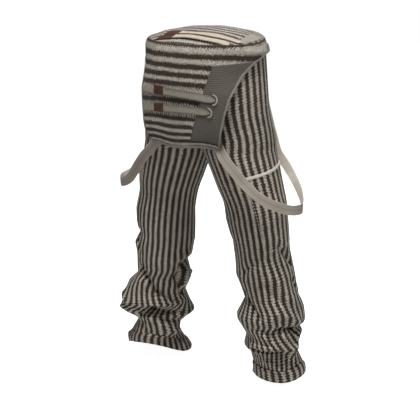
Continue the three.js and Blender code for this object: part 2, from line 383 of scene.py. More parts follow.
@dataclass(frozen=True)
class Thread:
    """A row of stitches.

    Fields are metres: the length of a stitch, the gap to the next, and the thread's radius.
    """

    stitch: float = 0.0034
    gap: float = 0.0016
    radius: float = 0.00045

    def sew(self, name: str, lines: Sequence[tuple[Array, Array]]) -> bpy.types.Object:
        """Sews rows of stitches along lines.

        Args:
            name: The object's name.
            lines: Pairs of arrays: points on the cloth, and the cloth's normals there.

        Returns:
            One object that holds every stitch as a small closed lozenge of thread.
        """
        vertices, faces = [], []
        turns = np.arange(6) * math.tau / 6
        for line, facing in lines:
            reach = np.concatenate([[0], np.cumsum(np.linalg.norm(np.diff(line, axis=0), axis=1))])
            starts = np.arange(self.gap, reach[-1] - self.stitch, self.stitch + self.gap)
            for start in starts:
                steps = start + self.stitch * np.array([0, 0.18, 0.5, 0.82, 1])
                middle = np.stack([np.interp(steps, reach, line[:, k]) for k in range(3)], 1)
                up = np.array([np.interp(start, reach, facing[:, k]) for k in range(3)])
                up /= np.linalg.norm(up)
                across = np.cross(middle[-1] - middle[0], up)
                across /= max(np.linalg.norm(across), 1e-9)
                rise = np.array([-0.2, 0.55, 0.8, 0.55, -0.2]) * self.radius
                girth = np.array([0.35, 0.9, 1.0, 0.9, 0.35]) * self.radius
                base = len(vertices)
                for centre, height, wide in zip(middle, rise, girth):
                    for turn in turns:
                        ring = up * math.sin(turn) + across * math.cos(turn)
                        vertices.append(centre + up * height + ring * wide)
                for ring in range(4):
                    for k in range(6):
                        a, b = base + ring * 6 + k, base + ring * 6 + (k + 1) % 6
                        faces.append((a, b, b + 6, a + 6))
                faces.append((base + 5, base + 4, base + 3, base + 2))
                faces.append((base + 5, base + 2, base + 1, base))
                faces.append((base + 24, base + 25, base + 26, base + 27))
                faces.append((base + 24, base + 27, base + 28, base + 29))
        thing = make_object(name, np.array(vertices), faces)
        thing.data.shade_smooth()
        return thing


def seam_line(place: Callable[[Array, Array], Array], u: Array, v: Array, lift: float) -> tuple[Array, Array]:
    """A line on a face and the face's normals along it, for stitches.

    Args:
        place: Gives the point of the face under shares u and v.
        u: Shares across, one for each point of the line.
        v: Shares along, one for each point of the line.
        lift: How far above the face the thread lies.

    Returns:
        The points and the normals.
    """
    step = 0.004
    across = place(u + step, v) - place(u - step, v)
    along = place(u, v + step) - place(u, v - step)
    facing = unit(np.cross(across, along))
    return place(u, v) + facing * lift, facing


# ---- Finishes --------------------------------------------------------------------------------------
class Graph:
    """A material's node tree, with short calls for the nodes that the finishes use."""

    def __init__(self, name: str, roughness: float, sheen: float = 0.0) -> None:
        """Starts a material.

        Args:
            name: The material's name.
            roughness: The shader's roughness.
            sheen: The shader's sheen weight.
        """
        self.material = bpy.data.materials.new(name)
        self.material.use_nodes = True
        self.nodes = self.material.node_tree.nodes
        self.links = self.material.node_tree.links
        self.shader = self.nodes["Principled BSDF"]
        self.shader.inputs["Roughness"].default_value = roughness
        self.shader.inputs["Sheen Weight"].default_value = sheen
        self.shader.inputs["Sheen Roughness"].default_value = 0.6
        self.shader.inputs["Specular IOR Level"].default_value = 0.25

    def feed(self, socket: bpy.types.NodeSocket, value: object) -> None:
        """Feeds a node's input.

        Args:
            socket: The input.
            value: Another node's output to link, or a number or colour to set.
        """
        if isinstance(value, bpy.types.NodeSocket):
            self.links.new(value, socket)
        elif isinstance(value, tuple) and len(value) == 3 and socket.type == "RGBA":
            socket.default_value = (*value, 1.0)
        else:
            socket.default_value = value

    def math(self, operation: str, *values: object) -> bpy.types.NodeSocket:
        """A Math node.

        Args:
            operation: The node's operation.
            *values: Outputs or numbers for its inputs, in order.

        Returns:
            The result.
        """
        node = self.nodes.new("ShaderNodeMath")
        node.operation = operation
        for socket, value in zip(node.inputs, values):
            self.feed(socket, value)
        return node.outputs[0]

    def place(self, layer: str) -> tuple[bpy.types.NodeSocket, bpy.types.NodeSocket]:
        """The two coordinates of a UV layer.

        Args:
            layer: The layer's name, "lay" or "weave".

        Returns:
            The outputs for the first and the second coordinate.
        """
        node = self.nodes.new("ShaderNodeUVMap")
        node.uv_map = layer
        parts = self.nodes.new("ShaderNodeSeparateXYZ")
        self.links.new(node.outputs[0], parts.inputs[0])
        return parts.outputs[0], parts.outputs[1]

    def noise(self, scale: float, detail: float = 2.0) -> bpy.types.NodeSocket:
        """Noise in the object's own space.

        Args:
            scale: How many blotches there are in a metre.
            detail: How many finer layers it has.

        Returns:
            A value from 0 to 1.
        """
        where = self.nodes.new("ShaderNodeTexCoord")
        node = self.nodes.new("ShaderNodeTexNoise")
        node.inputs["Scale"].default_value = scale
        node.inputs["Detail"].default_value = detail
        self.links.new(where.outputs["Object"], node.inputs["Vector"])
        return node.outputs["Fac"]

    def ramp(
        self, value: object, low: object, high: object, first: object, last: object
    ) -> bpy.types.NodeSocket:
        """A smooth change from one number to another.

        Args:
            value: What drives the change.
            low: The value where it starts.
            high: The value where it ends.
            first: The result at low.
            last: The result at high.

        Returns:
            The result.
        """
        node = self.nodes.new("ShaderNodeMapRange")
        node.interpolation_type = "SMOOTHSTEP"
        names = ("Value", "From Min", "From Max", "To Min", "To Max")
        for name, number in zip(names, (value, low, high, first, last)):
            self.feed(node.inputs[name], number)
        return node.outputs["Result"]

    def blend(self, share: object, first: object, second: object) -> bpy.types.NodeSocket:
        """Mixes two colours.

        Args:
            share: 0 for the first colour, 1 for the second.
            first: One colour.
            second: The other.

        Returns:
            The mixed colour.
        """
        node = self.nodes.new("ShaderNodeMix")
        node.data_type = "RGBA"
        factor, colour_a, colour_b = node.inputs[0], node.inputs[6], node.inputs[7]
        for socket, value in ((factor, share), (colour_a, first), (colour_b, second)):
            self.feed(socket, value)
        return node.outputs[2]

    def shade(self, colour: object, factor: bpy.types.NodeSocket) -> bpy.types.NodeSocket:
        """Multiplies a colour by a number.

        Args:
            colour: A colour, or an output that gives one.
            factor: The output that gives the number.

        Returns:
            The darker or lighter colour.
        """
        node = self.nodes.new("ShaderNodeVectorMath")
        node.operation = "SCALE"
        if isinstance(colour, tuple):
            node.inputs[0].default_value = colour
        else:
            self.links.new(colour, node.inputs[0])
        self.links.new(factor, node.inputs["Scale"])
        return node.outputs[0]

    def dress(
        self, colour: bpy.types.NodeSocket, height: bpy.types.NodeSocket, depth: float
    ) -> bpy.types.Material:
        """Gives the shader its colour and its bump.

        Args:
            colour: The output that gives the colour.
            height: The output that gives the bump's height.
            depth: The bump's depth in metres.

        Returns:
            The finished material.
        """
        self.links.new(colour, self.shader.inputs["Base Color"])
        bump = self.nodes.new("ShaderNodeBump")
        bump.inputs["Strength"].default_value = 0.7
        bump.inputs["Distance"].default_value = depth
        self.links.new(height, bump.inputs["Height"])
        self.links.new(bump.outputs["Normal"], self.shader.inputs["Normal"])
        return self.material

    def tooth(self, value: object, pitch: float) -> bpy.types.NodeSocket:
        """A triangle wave from 0 to 1 of the given pitch."""
        half = self.math("PINGPONG", value, pitch / 2)
        return self.math("DIVIDE", half, pitch / 2)


@dataclass(frozen=True)
class StripedKnit:
    """Knit cloth with dark stripes whose edges step stitch by stitch."""

    name: str = "striped_knit"
    light: tuple[float, float, float] = (0.43, 0.39, 0.335)
    dark: tuple[float, float, float] = (0.036, 0.024, 0.016)
    dark_share: float = 0.55
    tooth_pitch: float = 0.0084
    tooth_reach: float = 0.22
    wale: float = 0.0034
    course: float = 0.0029

    def make(self) -> bpy.types.Material:
        """Builds the node material.

        Returns:
            The material.
        """
        g = Graph(self.name, roughness=0.93, sheen=0.03)
        count, along = g.place("lay")
        across_m, along_m = g.place("weave")
        off = g.math("ABSOLUTE", g.math("SUBTRACT", g.math("FRACT", g.math("ADD", count, 0.5)), 0.5))
        fray = g.math("MULTIPLY", g.math("SUBTRACT", g.noise(130, 3), 0.5), 0.34)
        step = g.math("MULTIPLY", g.math("SUBTRACT", g.tooth(along, self.tooth_pitch), 0.5), self.tooth_reach)
        edge = g.math("ADD", g.math("ADD", step, fray), self.dark_share / 2)
        is_light = g.ramp(off, g.math("SUBTRACT", edge, 0.025), g.math("ADD", edge, 0.025), 0.0, 1.0)
        leg_of_stitch = g.tooth(across_m, self.wale)
        turn = g.math("ADD", g.math("DIVIDE", along_m, self.course), leg_of_stitch)
        loops = g.math("SINE", g.math("MULTIPLY", turn, math.tau))
        groove = g.ramp(leg_of_stitch, 0.0, 0.35, 0.0, 1.0)
        height = g.math("ADD", g.math("MULTIPLY", loops, 0.3), groove)
        flecks = g.ramp(g.noise(330, 4), 0.36, 0.64, 0.58, 1.28)
        fading = g.ramp(g.noise(9), 0.35, 0.7, 0.93, 1.07)
        # Painted shade: the colour darkens where the knit's bump is low, in the pits between the loops.
        painted_pit_shade = g.ramp(height, -0.3, 0.9, 0.72, 1.06)
        tone = g.math("MULTIPLY", g.math("MULTIPLY", flecks, fading), painted_pit_shade)
        colour = g.shade(g.blend(is_light, self.dark, self.light), tone)
        return g.dress(colour, height, 0.0009)


@dataclass(frozen=True)
class RibbedKnit:
    """Plain knit with close ribs across."""

    name: str = "ribbed_knit"
    colour: tuple[float, float, float] = (0.096, 0.084, 0.070)
    rib_pitch: float = 0.0052

    def make(self) -> bpy.types.Material:
        """Builds the node material.

        Returns:
            The material.
        """
        g = Graph(self.name, roughness=0.95, sheen=0.1)
        across, along = g.place("weave")
        rib = g.tooth(g.math("ADD", along, g.math("MULTIPLY", g.noise(60), 0.0012)), self.rib_pitch)
        stitch = g.tooth(across, 0.0031)
        height = g.math("ADD", rib, g.math("MULTIPLY", stitch, 0.35))
        flecks = g.ramp(g.noise(600, 3), 0.3, 0.7, 0.85, 1.12)
        # Painted shade: the colour darkens in the furrows between the ribs.
        tone = g.math("MULTIPLY", g.ramp(rib, 0.05, 0.75, 0.62, 1.12), flecks)
        return g.dress(g.shade(self.colour, tone), height, 0.0011)


@dataclass(frozen=True)
class Webbing:
    """Flat woven strap with a stitched middle; its colour carries a painted highlight along both edges and
    painted shade in the middle groove and in the twill's hollows.
    """

    name: str = "webbing"
    colour: tuple[float, float, float] = (0.262, 0.231, 0.193)
    middle_line: bool = True

    def make(self) -> bpy.types.Material:
        """Builds the node material.

        Returns:
            The material.
        """
        g = Graph(self.name, roughness=0.85, sheen=0.1)
        share, _ = g.place("lay")
        across, along = g.place("weave")
        slant = g.math("ADD", g.tooth(across, 0.014), g.math("DIVIDE", along, 0.0035))
        twill = g.tooth(slant, 1.0)
        off = g.math("ABSOLUTE", g.math("SUBTRACT", share, 0.5))
        # Painted highlight: the colour is lightened along both edges of the strap, where its thickness
        # catches the light.
        edge = g.ramp(off, 0.40, 0.45, 1.0, 1.45)
        # Painted shade: the colour darkens along the stitched middle groove.
        groove = g.ramp(off, 0.01, 0.05, 0.62, 1.0) if self.middle_line else g.ramp(off, 0, 1, 1.0, 1.0)
        soil = g.ramp(g.noise(22, 3), 0.35, 0.7, 0.9, 1.06)
        # Painted shade: the twill's hollows darken the colour as well.
        tone = g.math("MULTIPLY", g.math("MULTIPLY", edge, groove), g.ramp(twill, 0, 1, 0.86, 1.06))
        height = g.math("ADD", g.math("MULTIPLY", twill, 0.4), g.math("MULTIPLY", groove, 1.2))
        return g.dress(g.shade(self.colour, g.math("MULTIPLY", tone, soil)), height, 0.0007)


@dataclass(frozen=True)
class Leather:
    """Brown leather with grain and rubbed edges."""

    name: str = "leather"
    colour: tuple[float, float, float] = (0.058, 0.024, 0.013)
    rubbed: tuple[float, float, float] = (0.12, 0.058, 0.034)

    def make(self) -> bpy.types.Material:
        """Builds the node material.

        Returns:
            The material.
        """
        g = Graph(self.name, roughness=0.52)
        u, v = g.place("lay")
        rim_u = g.math("ABSOLUTE", g.math("SUBTRACT", u, 0.5))
        rim_v = g.math("ABSOLUTE", g.math("SUBTRACT", v, 0.5))
        rim = g.math("MAXIMUM", rim_u, rim_v)
        patchy = g.math("ADD", rim, g.math("MULTIPLY", g.noise(240), 0.12))
        worn = g.ramp(patchy, 0.50, 0.58, 0.0, 0.75)
        cells = g.nodes.new("ShaderNodeTexVoronoi")
        cells.inputs["Scale"].default_value = 900
        where = g.nodes.new("ShaderNodeTexCoord")
        g.links.new(where.outputs["Object"], cells.inputs["Vector"])
        grain = g.math("ADD", cells.outputs["Distance"], g.math("MULTIPLY", g.noise(350, 4), 0.6))
        tone = g.ramp(g.noise(120, 3), 0.3, 0.7, 0.75, 1.2)
        return g.dress(g.shade(g.blend(worn, self.colour, self.rubbed), tone), grain, 0.0004)


@dataclass(frozen=True)
class PlainWeave:
    """Fine plain cloth, for tabs, tapes and thread. Its colour darkens in the weave's hollows, which is
    painted shade, and can darken along its long edges, which is painted edge shadow together with a dark
    edge.
    """

    name: str
    colour: tuple[float, float, float]
    pitch: float = 0.0014
    depth: float = 0.0003
    # How dark the long edges get: painted edge shadow together with a dark edge; 1 leaves them unchanged.
    dark_edge_and_shadow_tone: float = 1.0

    def make(self) -> bpy.types.Material:
        """Builds the node material.

        Returns:
            The material.
        """
        g = Graph(self.name, roughness=0.88, sheen=0.08)
        across, along = g.place("weave")
        warp = g.tooth(across, self.pitch)
        weft = g.tooth(g.math("ADD", along, g.math("MULTIPLY", across, 0.5)), self.pitch)
        height = g.math("ADD", warp, weft)
        mottle = g.ramp(g.noise(90, 3), 0.3, 0.72, 0.9, 1.07)
        _, v = g.place("lay")
        # Painted edge shadow together with a dark edge: the colour darkens towards both long edges.
        rim = g.ramp(g.math("ABSOLUTE", g.math("SUBTRACT", v, 0.5)), 0.40, 0.49, 1.0, self.dark_edge_and_shadow_tone)
        # Painted shade: the colour also darkens where the weave's bump is low.
        tone = g.math("MULTIPLY", g.math("MULTIPLY", mottle, rim), g.ramp(height, 0.2, 1.6, 0.88, 1.05))
        return g.dress(g.shade(self.colour, tone), height, self.depth)


@dataclass
class Wardrobe:
    """Every finish of the overalls, made once."""

    knit: bpy.types.Material = field(default_factory=lambda: StripedKnit().make())
    knit_reverse: bpy.types.Material = field(
        default_factory=lambda: StripedKnit(
            "striped_knit_reverse", light=(0.36, 0.33, 0.29), dark=(0.09, 0.075, 0.062)
        ).make()
    )
    # Painted shade: the striped knit again, with darker colours for the yoke, whose top faces the overhead
    # light; its smaller dark share is the stripe pattern.
    yoke_knit_painted_shade: bpy.types.Material = field(
        default_factory=lambda: StripedKnit(
            "striped_knit_yoke", light=(0.33, 0.30, 0.26), dark=(0.030, 0.021, 0.015), dark_share=0.42
        ).make()
    )
    rib: bpy.types.Material = field(default_factory=lambda: RibbedKnit().make())
    # Painted light: the ribbed knit again, much lighter for the yoke, whose top faces the overhead light.
    yoke_rib: bpy.types.Material = field(
        default_factory=lambda: RibbedKnit("ribbed_knit_yoke", (0.25, 0.225, 0.19)).make()
    )
    webbing: bpy.types.Material = field(default_factory=lambda: Webbing().make())
    webbing_reverse: bpy.types.Material = field(
        default_factory=lambda: Webbing("webbing_reverse", (0.60, 0.54, 0.47), middle_line=False).make()
    )
    leather: bpy.types.Material = field(default_factory=lambda: Leather().make())
    # The tabs' long edges darken: painted edge shadow together with a dark edge.
    cotton: bpy.types.Material = field(
        default_factory=lambda: PlainWeave("tab_cotton", (0.265, 0.235, 0.190), dark_edge_and_shadow_tone=0.45).make()
    )
    # Painted light: the tab cotton again, lighter for the yoke's tabs, which face the overhead light.
    yoke_cotton_painted_light: bpy.types.Material = field(
        default_factory=lambda: PlainWeave("tab_cotton_yoke", (0.40, 0.345, 0.27), dark_edge_and_shadow_tone=0.5).make()
    )
    cord: bpy.types.Material = field(
        default_factory=lambda: PlainWeave("loop_cord", (0.34, 0.31, 0.265), 0.0012).make()
    )
    tape: bpy.types.Material = field(
        default_factory=lambda: PlainWeave("binding_tape", (0.20, 0.178, 0.15), 0.0018).make()
    )
    piping: bpy.types.Material = field(
        default_factory=lambda: PlainWeave("pocket_piping", (0.60, 0.56, 0.49), 0.0018).make()
    )
    thread: bpy.types.Material = field(
        default_factory=lambda: PlainWeave("thread", (0.60, 0.55, 0.46), 0.0008, 0.0001).make()
    )
    dark_thread: bpy.types.Material = field(
        default_factory=lambda: PlainWeave("dark_thread", (0.055, 0.042, 0.034), 0.0008, 0.0001).make()
    )


def wear(
    piece: bpy.types.Object,
    body: Body,
    finish: bpy.types.Material,
    reverse: bpy.types.Material | None = None,
    stands_for: Sequence[str] = (),
) -> bpy.types.Object:
    """Gives a piece its finish, its body and the frame nodes that it stands for.

    Args:
        piece: The piece.
        body: The body that it rides on.
        finish: The material of its shown face.
        reverse: The material of its reverse, when it isn't the same.
        stands_for: Names of the frame's nodes that it replaces.

    Returns:
        The piece.
    """
    piece.data.materials.clear()
    piece.data.materials.append(finish)
    piece.data.materials.append(reverse or finish)
    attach(piece, body.value)
    if stands_for:
        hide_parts(*stands_for)
    log.info("%s rides on %s", piece.name, body.value)
    return piece


# ---- Trousers --------------------------------------------------------------------------------------
@dataclass(frozen=True)
class Crease:
    """One fold line on a leg, from (turn in degrees, height) to (turn, height).

    A positive rise is a ridge and a negative one is a valley; width is half its spread.
    """

    start: tuple[float, float]
    end: tuple[float, float]
    rise: float
    width: float

    def at(self, turn: Array, height: Array) -> Array:
        """How far the fold moves the cloth outward.

        Args:
            turn: Where each point lies round the leg, in degrees.
            height: Each point's height.

        Returns:
            The distance at each point.
        """
        girth = 0.088
        x = np.radians((turn - self.start[0] + 180) % 360 - 180) * girth
        y = height - self.start[1]
        run = np.array([math.radians(self.end[0] - self.start[0]) * girth, self.end[1] - self.start[1]])
        share = np.clip((x * run[0] + y * run[1]) / (run @ run), 0, 1)
        distance = np.hypot(x - share * run[0], y - share * run[1])
        return self.rise * np.exp(-np.abs(distance / self.width) ** 1.5)


@dataclass(frozen=True)
class Crumple:
    """How one leg's cloth stands off its axis where it bunches over the foot.

    Profiles are keyed by the turn that they face, in degrees, a quarter turn apart. Their rows are
    (height, radius). Slip is (height, sideways shift of the stripes). Soft is the reach over which a
    profile's corners are rounded, and depth multiplies every crease.
    """

    profiles: dict[float, Rows]
    creases: tuple[Crease, ...]
    slip: Rows
    slip_turn: float
    soft: float = 0.0028
    depth: float = 1.75

    def radius(self, turn: Array, height: Array) -> Array:
        """Distance of the cloth from the leg's axis.

        Args:
            turn: Where each point lies round the leg, in degrees.
            height: Each point's height.

        Returns:
            The distance at each point, with the folds.
        """
        total = np.zeros_like(height)
        for toward, rows in self.profiles.items():
            gap = np.radians((turn - toward + 180) % 360 - 180)
            weight = np.where(np.abs(gap) < math.pi / 2, np.cos(gap) ** 2, 0)
            table = np.array(rows)
            nearby = [height + k * self.soft for k in (-1, -0.4, 0.4, 1)]
            around = [np.interp(z, table[:, 0], table[:, 1]) for z in nearby]
            total += weight * sum(around) / len(around)
        return total + self.depth * sum(crease.at(turn, height) for crease in self.creases)

    def shift(self, turn: Array, height: Array) -> Array:
        """Sideways shift of the stripes, strongest where slip_turn faces.

        Args:
            turn: Where each point lies round the leg, in radians.
            height: Each point's height.

        Returns:
            The shift at each point, in metres.
        """
        table = np.array(self.slip)
        soft = [np.interp(height + k * 0.005, table[:, 0], table[:, 1]) for k in (-1, 0, 1)]
        facing = 0.55 + 0.45 * np.cos(turn - math.radians(self.slip_turn))
        return sum(soft) / 3 * facing


RIGHT_CRUMPLE = Crumple(
    profiles={
        35: (
            (0.000, 0.088), (0.031, 0.088), (0.038, 0.080), (0.098, 0.055), (0.118, 0.108), (0.142, 0.112),
            (0.213, 0.095), (0.238, 0.071), (0.270, 0.076), (0.310, 0.080), (0.342, 0.088), (0.377, 0.075),
            (0.416, 0.087), (0.455, 0.090), (0.512, 0.084),
        ),
        125: (
            (-0.005, 0.086), (0.040, 0.089), (0.062, 0.097), (0.138, 0.079), (0.147, 0.081), (0.162, 0.106),
            (0.196, 0.083), (0.240, 0.083), (0.290, 0.088), (0.350, 0.086), (0.400, 0.089), (0.512, 0.088),
        ),
        215: (
            (-0.035, 0.090), (-0.012, 0.106), (0.043, 0.072), (0.077, 0.070), (0.120, 0.113), (0.183, 0.082),
            (0.230, 0.094), (0.290, 0.073), (0.304, 0.087), (0.357, 0.092), (0.416, 0.088), (0.455, 0.084),
            (0.512, 0.085),
        ),
        305: (
            (-0.030, 0.094), (0.030, 0.082), (0.085, 0.100), (0.118, 0.080), (0.170, 0.104), (0.212, 0.078),
            (0.262, 0.096), (0.305, 0.080), (0.352, 0.093), (0.405, 0.084), (0.512, 0.091),
        ),
    },
    creases=(
        Crease((70, 0.268), (126, 0.197), -0.010, 0.009),
        Crease((128, 0.196), (168, 0.166), -0.009, 0.008),
        Crease((52, 0.132), (100, 0.134), 0.009, 0.012),
        Crease((96, 0.120), (124, 0.146), -0.010, 0.008),
        Crease((124, 0.144), (176, 0.130), -0.009, 0.008),
        Crease((178, 0.292), (160, 0.246), -0.009, 0.007),
        Crease((160, 0.244), (184, 0.184), -0.009, 0.007),
        Crease((182, 0.262), (180, 0.220), 0.009, 0.015),
        Crease((122, 0.118), (184, 0.058), 0.009, 0.013),
        Crease((150, 0.110), (205, 0.096), -0.007, 0.009),
        Crease((35, 0.372), (64, 0.330), -0.006, 0.009),
        Crease((300, 0.330), (250, 0.270), -0.010, 0.010),
        Crease((330, 0.200), (262, 0.150), -0.010, 0.010),
        Crease((240, 0.225), (285, 0.190), 0.009, 0.014),
        Crease((44, 0.176), (84, 0.150), 0.006, 0.011),
        Crease((150, 0.078), (196, 0.060), 0.006, 0.011),
        Crease((104, 0.092), (128, 0.070), -0.004, 0.008),
        Crease((176, 0.318), (140, 0.292), 0.005, 0.012),
        Crease((60, 0.236), (92, 0.226), 0.004, 0.010),
        Crease((20, 0.172), (48, 0.122), -0.004, 0.008),
    ),
    slip=(
        (0.030, -0.026), (0.058, -0.026), (0.098, 0.000), (0.122, 0.014), (0.140, -0.006), (0.158, -0.034),
        (0.196, -0.004), (0.240, 0.006), (0.268, -0.004), (0.300, 0.0), (0.350, -0.003), (0.420, 0.0),
    ),
    slip_turn=100,
)

LEFT_CRUMPLE = Crumple(
    profiles={
        145: (
            (0.000, 0.070), (0.012, 0.066), (0.079, 0.067), (0.095, 0.086), (0.132, 0.076), (0.177, 0.099),
            (0.192, 0.100), (0.237, 0.071), (0.308, 0.087), (0.353, 0.081), (0.405, 0.080), (0.429, 0.085),
            (0.469, 0.089), (0.555, 0.087),
        ),
        55: (
            (-0.005, 0.082), (0.040, 0.079), (0.098, 0.071), (0.110, 0.093), (0.150, 0.084), (0.167, 0.078),
            (0.186, 0.091), (0.255, 0.092), (0.320, 0.095), (0.372, 0.084), (0.430, 0.089), (0.520, 0.093),
        ),
        -35: (
            (0.000, 0.076), (0.036, 0.077), (0.076, 0.065), (0.123, 0.070), (0.158, 0.095), (0.214, 0.095),
            (0.278, 0.083), (0.341, 0.084), (0.385, 0.081), (0.449, 0.084), (0.504, 0.088), (0.549, 0.095),
        ),
        235: (
            (-0.030, 0.092), (0.030, 0.080), (0.088, 0.099), (0.124, 0.080), (0.172, 0.102), (0.214, 0.079),
            (0.266, 0.096), (0.310, 0.081), (0.360, 0.093), (0.420, 0.086), (0.520, 0.093),
        ),
    },
    creases=(
        Crease((-34, 0.156), (16, 0.164), -0.011, 0.008),
        Crease((16, 0.164), (48, 0.174), -0.009, 0.007),
        Crease((44, 0.160), (30, 0.100), 0.008, 0.012),
        Crease((54, 0.103), (118, 0.099), -0.007, 0.006),
        Crease((54, 0.118), (118, 0.112), 0.006, 0.009),
        Crease((44, 0.330), (16, 0.256), 0.006, 0.022),
        Crease((20, 0.404), (-14, 0.346), -0.007, 0.009),
        Crease((60, 0.376), (100, 0.330), -0.005, 0.010),
        Crease((120, 0.262), (84, 0.206), -0.007, 0.009),
        Crease((-10, 0.300), (-40, 0.240), -0.008, 0.009),
        Crease((250, 0.335), (290, 0.275), -0.010, 0.010),
        Crease((210, 0.205), (275, 0.150), -0.010, 0.010),
        Crease((290, 0.228), (250, 0.192), 0.009, 0.014),
        Crease((36, 0.238), (64, 0.196), 0.006, 0.013),
        Crease((30, 0.214), (8, 0.188), 0.006, 0.012),
        Crease((58, 0.296), (30, 0.236), -0.004, 0.010),
        Crease((84, 0.150), (56, 0.128), 0.005, 0.010),
        Crease((10, 0.140), (26, 0.090), 0.006, 0.010),
        Crease((6, 0.130), (-10, 0.080), -0.006, 0.008),
        Crease((98, 0.070), (60, 0.052), 0.004, 0.010),
    ),
    slip=(
        (0.030, -0.016), (0.045, -0.016), (0.092, 0.004), (0.104, 0.012), (0.132, -0.004), (0.160, -0.016),
        (0.178, 0.004), (0.215, 0.006), (0.250, -0.003), (0.320, 0.0), (0.372, -0.004), (0.430, 0.0),
    ),
    slip_turn=60,
)


@dataclass(frozen=True)
class TrouserShape:
    """The trousers' surface: an oval at the hips that parts into two bunched legs.

    Heights count from the front of the hem. Hips are (height, half width, half depth). Legs are
    (height, centre across, half width, centre in depth, half depth, turn-out in degrees). Hem rises
    are (turn in degrees, how far the hem stands off the floor), for each side's sign of X.
    """

    hips: Rows = (
        (0.670, 0.200, 0.116), (0.770, 0.195, 0.123), (0.860, 0.186, 0.126),
        (0.930, 0.179, 0.126), (0.965, 0.177, 0.125),
    )
    legs: Rows = (
        (0.000, 0.222, 0.068, 0.045, 0.088, 20), (0.045, 0.221, 0.070, 0.041, 0.087, 18),
        (0.100, 0.210, 0.076, 0.039, 0.086, 12), (0.165, 0.207, 0.087, 0.033, 0.095, 6),
        (0.255, 0.193, 0.085, 0.035, 0.090, 0), (0.350, 0.177, 0.082, 0.028, 0.087, 0),
        (0.440, 0.163, 0.084, 0.023, 0.090, 0), (0.520, 0.149, 0.088, 0.020, 0.095, 0),
        (0.600, 0.124, 0.095, 0.016, 0.103, 0), (0.670, 0.1004, 0.100, 0.014, 0.112, 0),
    )
    waist_tilt: float = 0.127
    hip_depth: float = -0.005
    hip_pitch: float = 0.0216
    crumple_top: tuple[float, float] = (0.49, 0.56)
    hem_rises: dict[int, Rows] = field(
        default_factory=lambda: {
            -1: (
                (0, 0.008), (30, 0.020), (60, 0.039), (90, 0.052), (120, 0.060), (135, 0.060), (150, 0.056),
                (165, 0.047), (180, 0.034), (195, 0.021), (225, 0.012), (250, 0.0), (290, 0.0), (330, 0.002),
            ),
            1: (
                (0, 0.050), (15, 0.048), (30, 0.045), (60, 0.039), (120, 0.039), (165, 0.039), (180, 0.033),
                (195, 0.020), (215, 0.006), (250, 0.0), (300, 0.0), (330, 0.018), (345, 0.036),
            ),
        }
    )

    def crumple(self, side: Side) -> Crumple:
        """The folds of one leg."""
        return LEFT_CRUMPLE if side is Side.LEFT else RIGHT_CRUMPLE

    def hip(self, angle: Array, height: Array) -> Array:
        """Points of the hip oval.

        Args:
            angle: Where each point lies, in radians; 0 is the left side seam and a quarter turn the front.
            height: Each point's height.

        Returns:
            The points.
        """
        across, depth = (np.sign(wave) * np.abs(wave) ** 0.971 for wave in (np.cos(angle), np.sin(angle)))
        x = station(self.hips, height, 1) * across
        y = self.hip_depth - station(self.hips, height, 2) * depth
        tilt = self.waist_tilt * ease(height, 0.780, BAND_BOTTOM) * (y - self.hip_depth)
        return points(x, y + DEPTH_SHIFT, height + tilt + HEEL_DROP)

    def smooth(self, side: Side, turn: Array, height: Array) -> Array:
        """Points of one half of the trousers before it bunches.

        Args:
            side: The half.
            turn: Where each point lies round it, in radians; 0 is the outer seam.
            height: Each point's height.

        Returns:
            The points.
        """
        turn, height = np.broadcast_arrays(turn, height)
        x = station(self.legs, height, 2) * np.cos(turn)
        y = -station(self.legs, height, 4) * np.sin(turn)
        out = np.radians(station(self.legs, height, 5))
        x, y = x * np.cos(out) - y * np.sin(out), x * np.sin(out) + y * np.cos(out)
        leg = points(
            x + station(self.legs, height, 1),
            y + station(self.legs, height, 3) + DEPTH_SHIFT,
            height + HEEL_DROP,
        )
        share = ease(height, CROTCH_HEIGHT, CROTCH_HEIGHT + 0.125)[..., None]
        place = mix(leg, self.hip(turn / 2, height), share)
        place[..., 0] = side.value * np.maximum(place[..., 0], SEAM_GAP / 2)
        return place

    def cloth(self, side: Side, turn: Array, height: Array) -> Array:
        """Points of one half of the trousers with its folds.

        Args:
            side: The half.
            turn: Where each point lies round it, in radians.
            height: Each point's height.

        Returns:
            The points.
        """
        turn, height = np.broadcast_arrays(turn, height)
        place = self.smooth(side, turn, height)
        centre = points(
            side.value * station(self.legs, height, 1),
            station(self.legs, height, 3) + DEPTH_SHIFT,
            place[..., 2],
        )
        reach = place - centre
        length = np.linalg.norm(reach, axis=-1)
        wanted = self.crumple(side).radius(np.degrees(turn), height)
        share = 1 - ease(height, *self.crumple_top)
        new = mix(length, wanted, share) + self.drape(turn, height) * (1 - ease(height, 0.58, 0.66))
        folded = centre + reach * (new / length)[..., None]
        folded[..., 0] = side.value * np.maximum(side.value * folded[..., 0], SEAM_GAP / 2)
        return folded

    def stripe_count(
        self, side: Side, turn: Array, height: Array, reach: Array | None = None
    ) -> Array:
        """How many stripes lie between the middle of a front panel and each point.

        Args:
            side: The half that the points lie on.
            turn: Where the points lie round the leg, in radians.
            height: Their heights.
            reach: Their distances from the outer seam along the cloth, if they lie on a whole panel.

        Returns:
            The counts; the stripes keep to the turn on the legs and to the distance at the hips.
        """
        share = turn / math.pi * PANEL_STRIPES
        if reach is not None:
            straight = np.sign(turn) * reach / self.hip_pitch
            share = mix(share, straight, ease(height, 0.60, 0.74))
        return share - PANEL_STRIPES / 2 + self.crumple(side).shift(turn, height) / STRIPE_PITCH

    def drape(self, turn: Array, height: Array) -> Array:
        """Soft, shallow waves of the whole cloth.

        Args:
            turn: Where each point lies round the leg, in radians.
            height: Each point's height.

        Returns:
            How far the cloth stands out at each point.
        """
        sway = np.sin(3 * turn + 9 * height + 0.7) * np.sin(14 * height + turn)
        fine = np.sin(5 * turn - 31 * height + 1.9) * np.sin(23 * height - 2 * turn + 0.4)
        return 0.0012 * sway + 0.0007 * fine

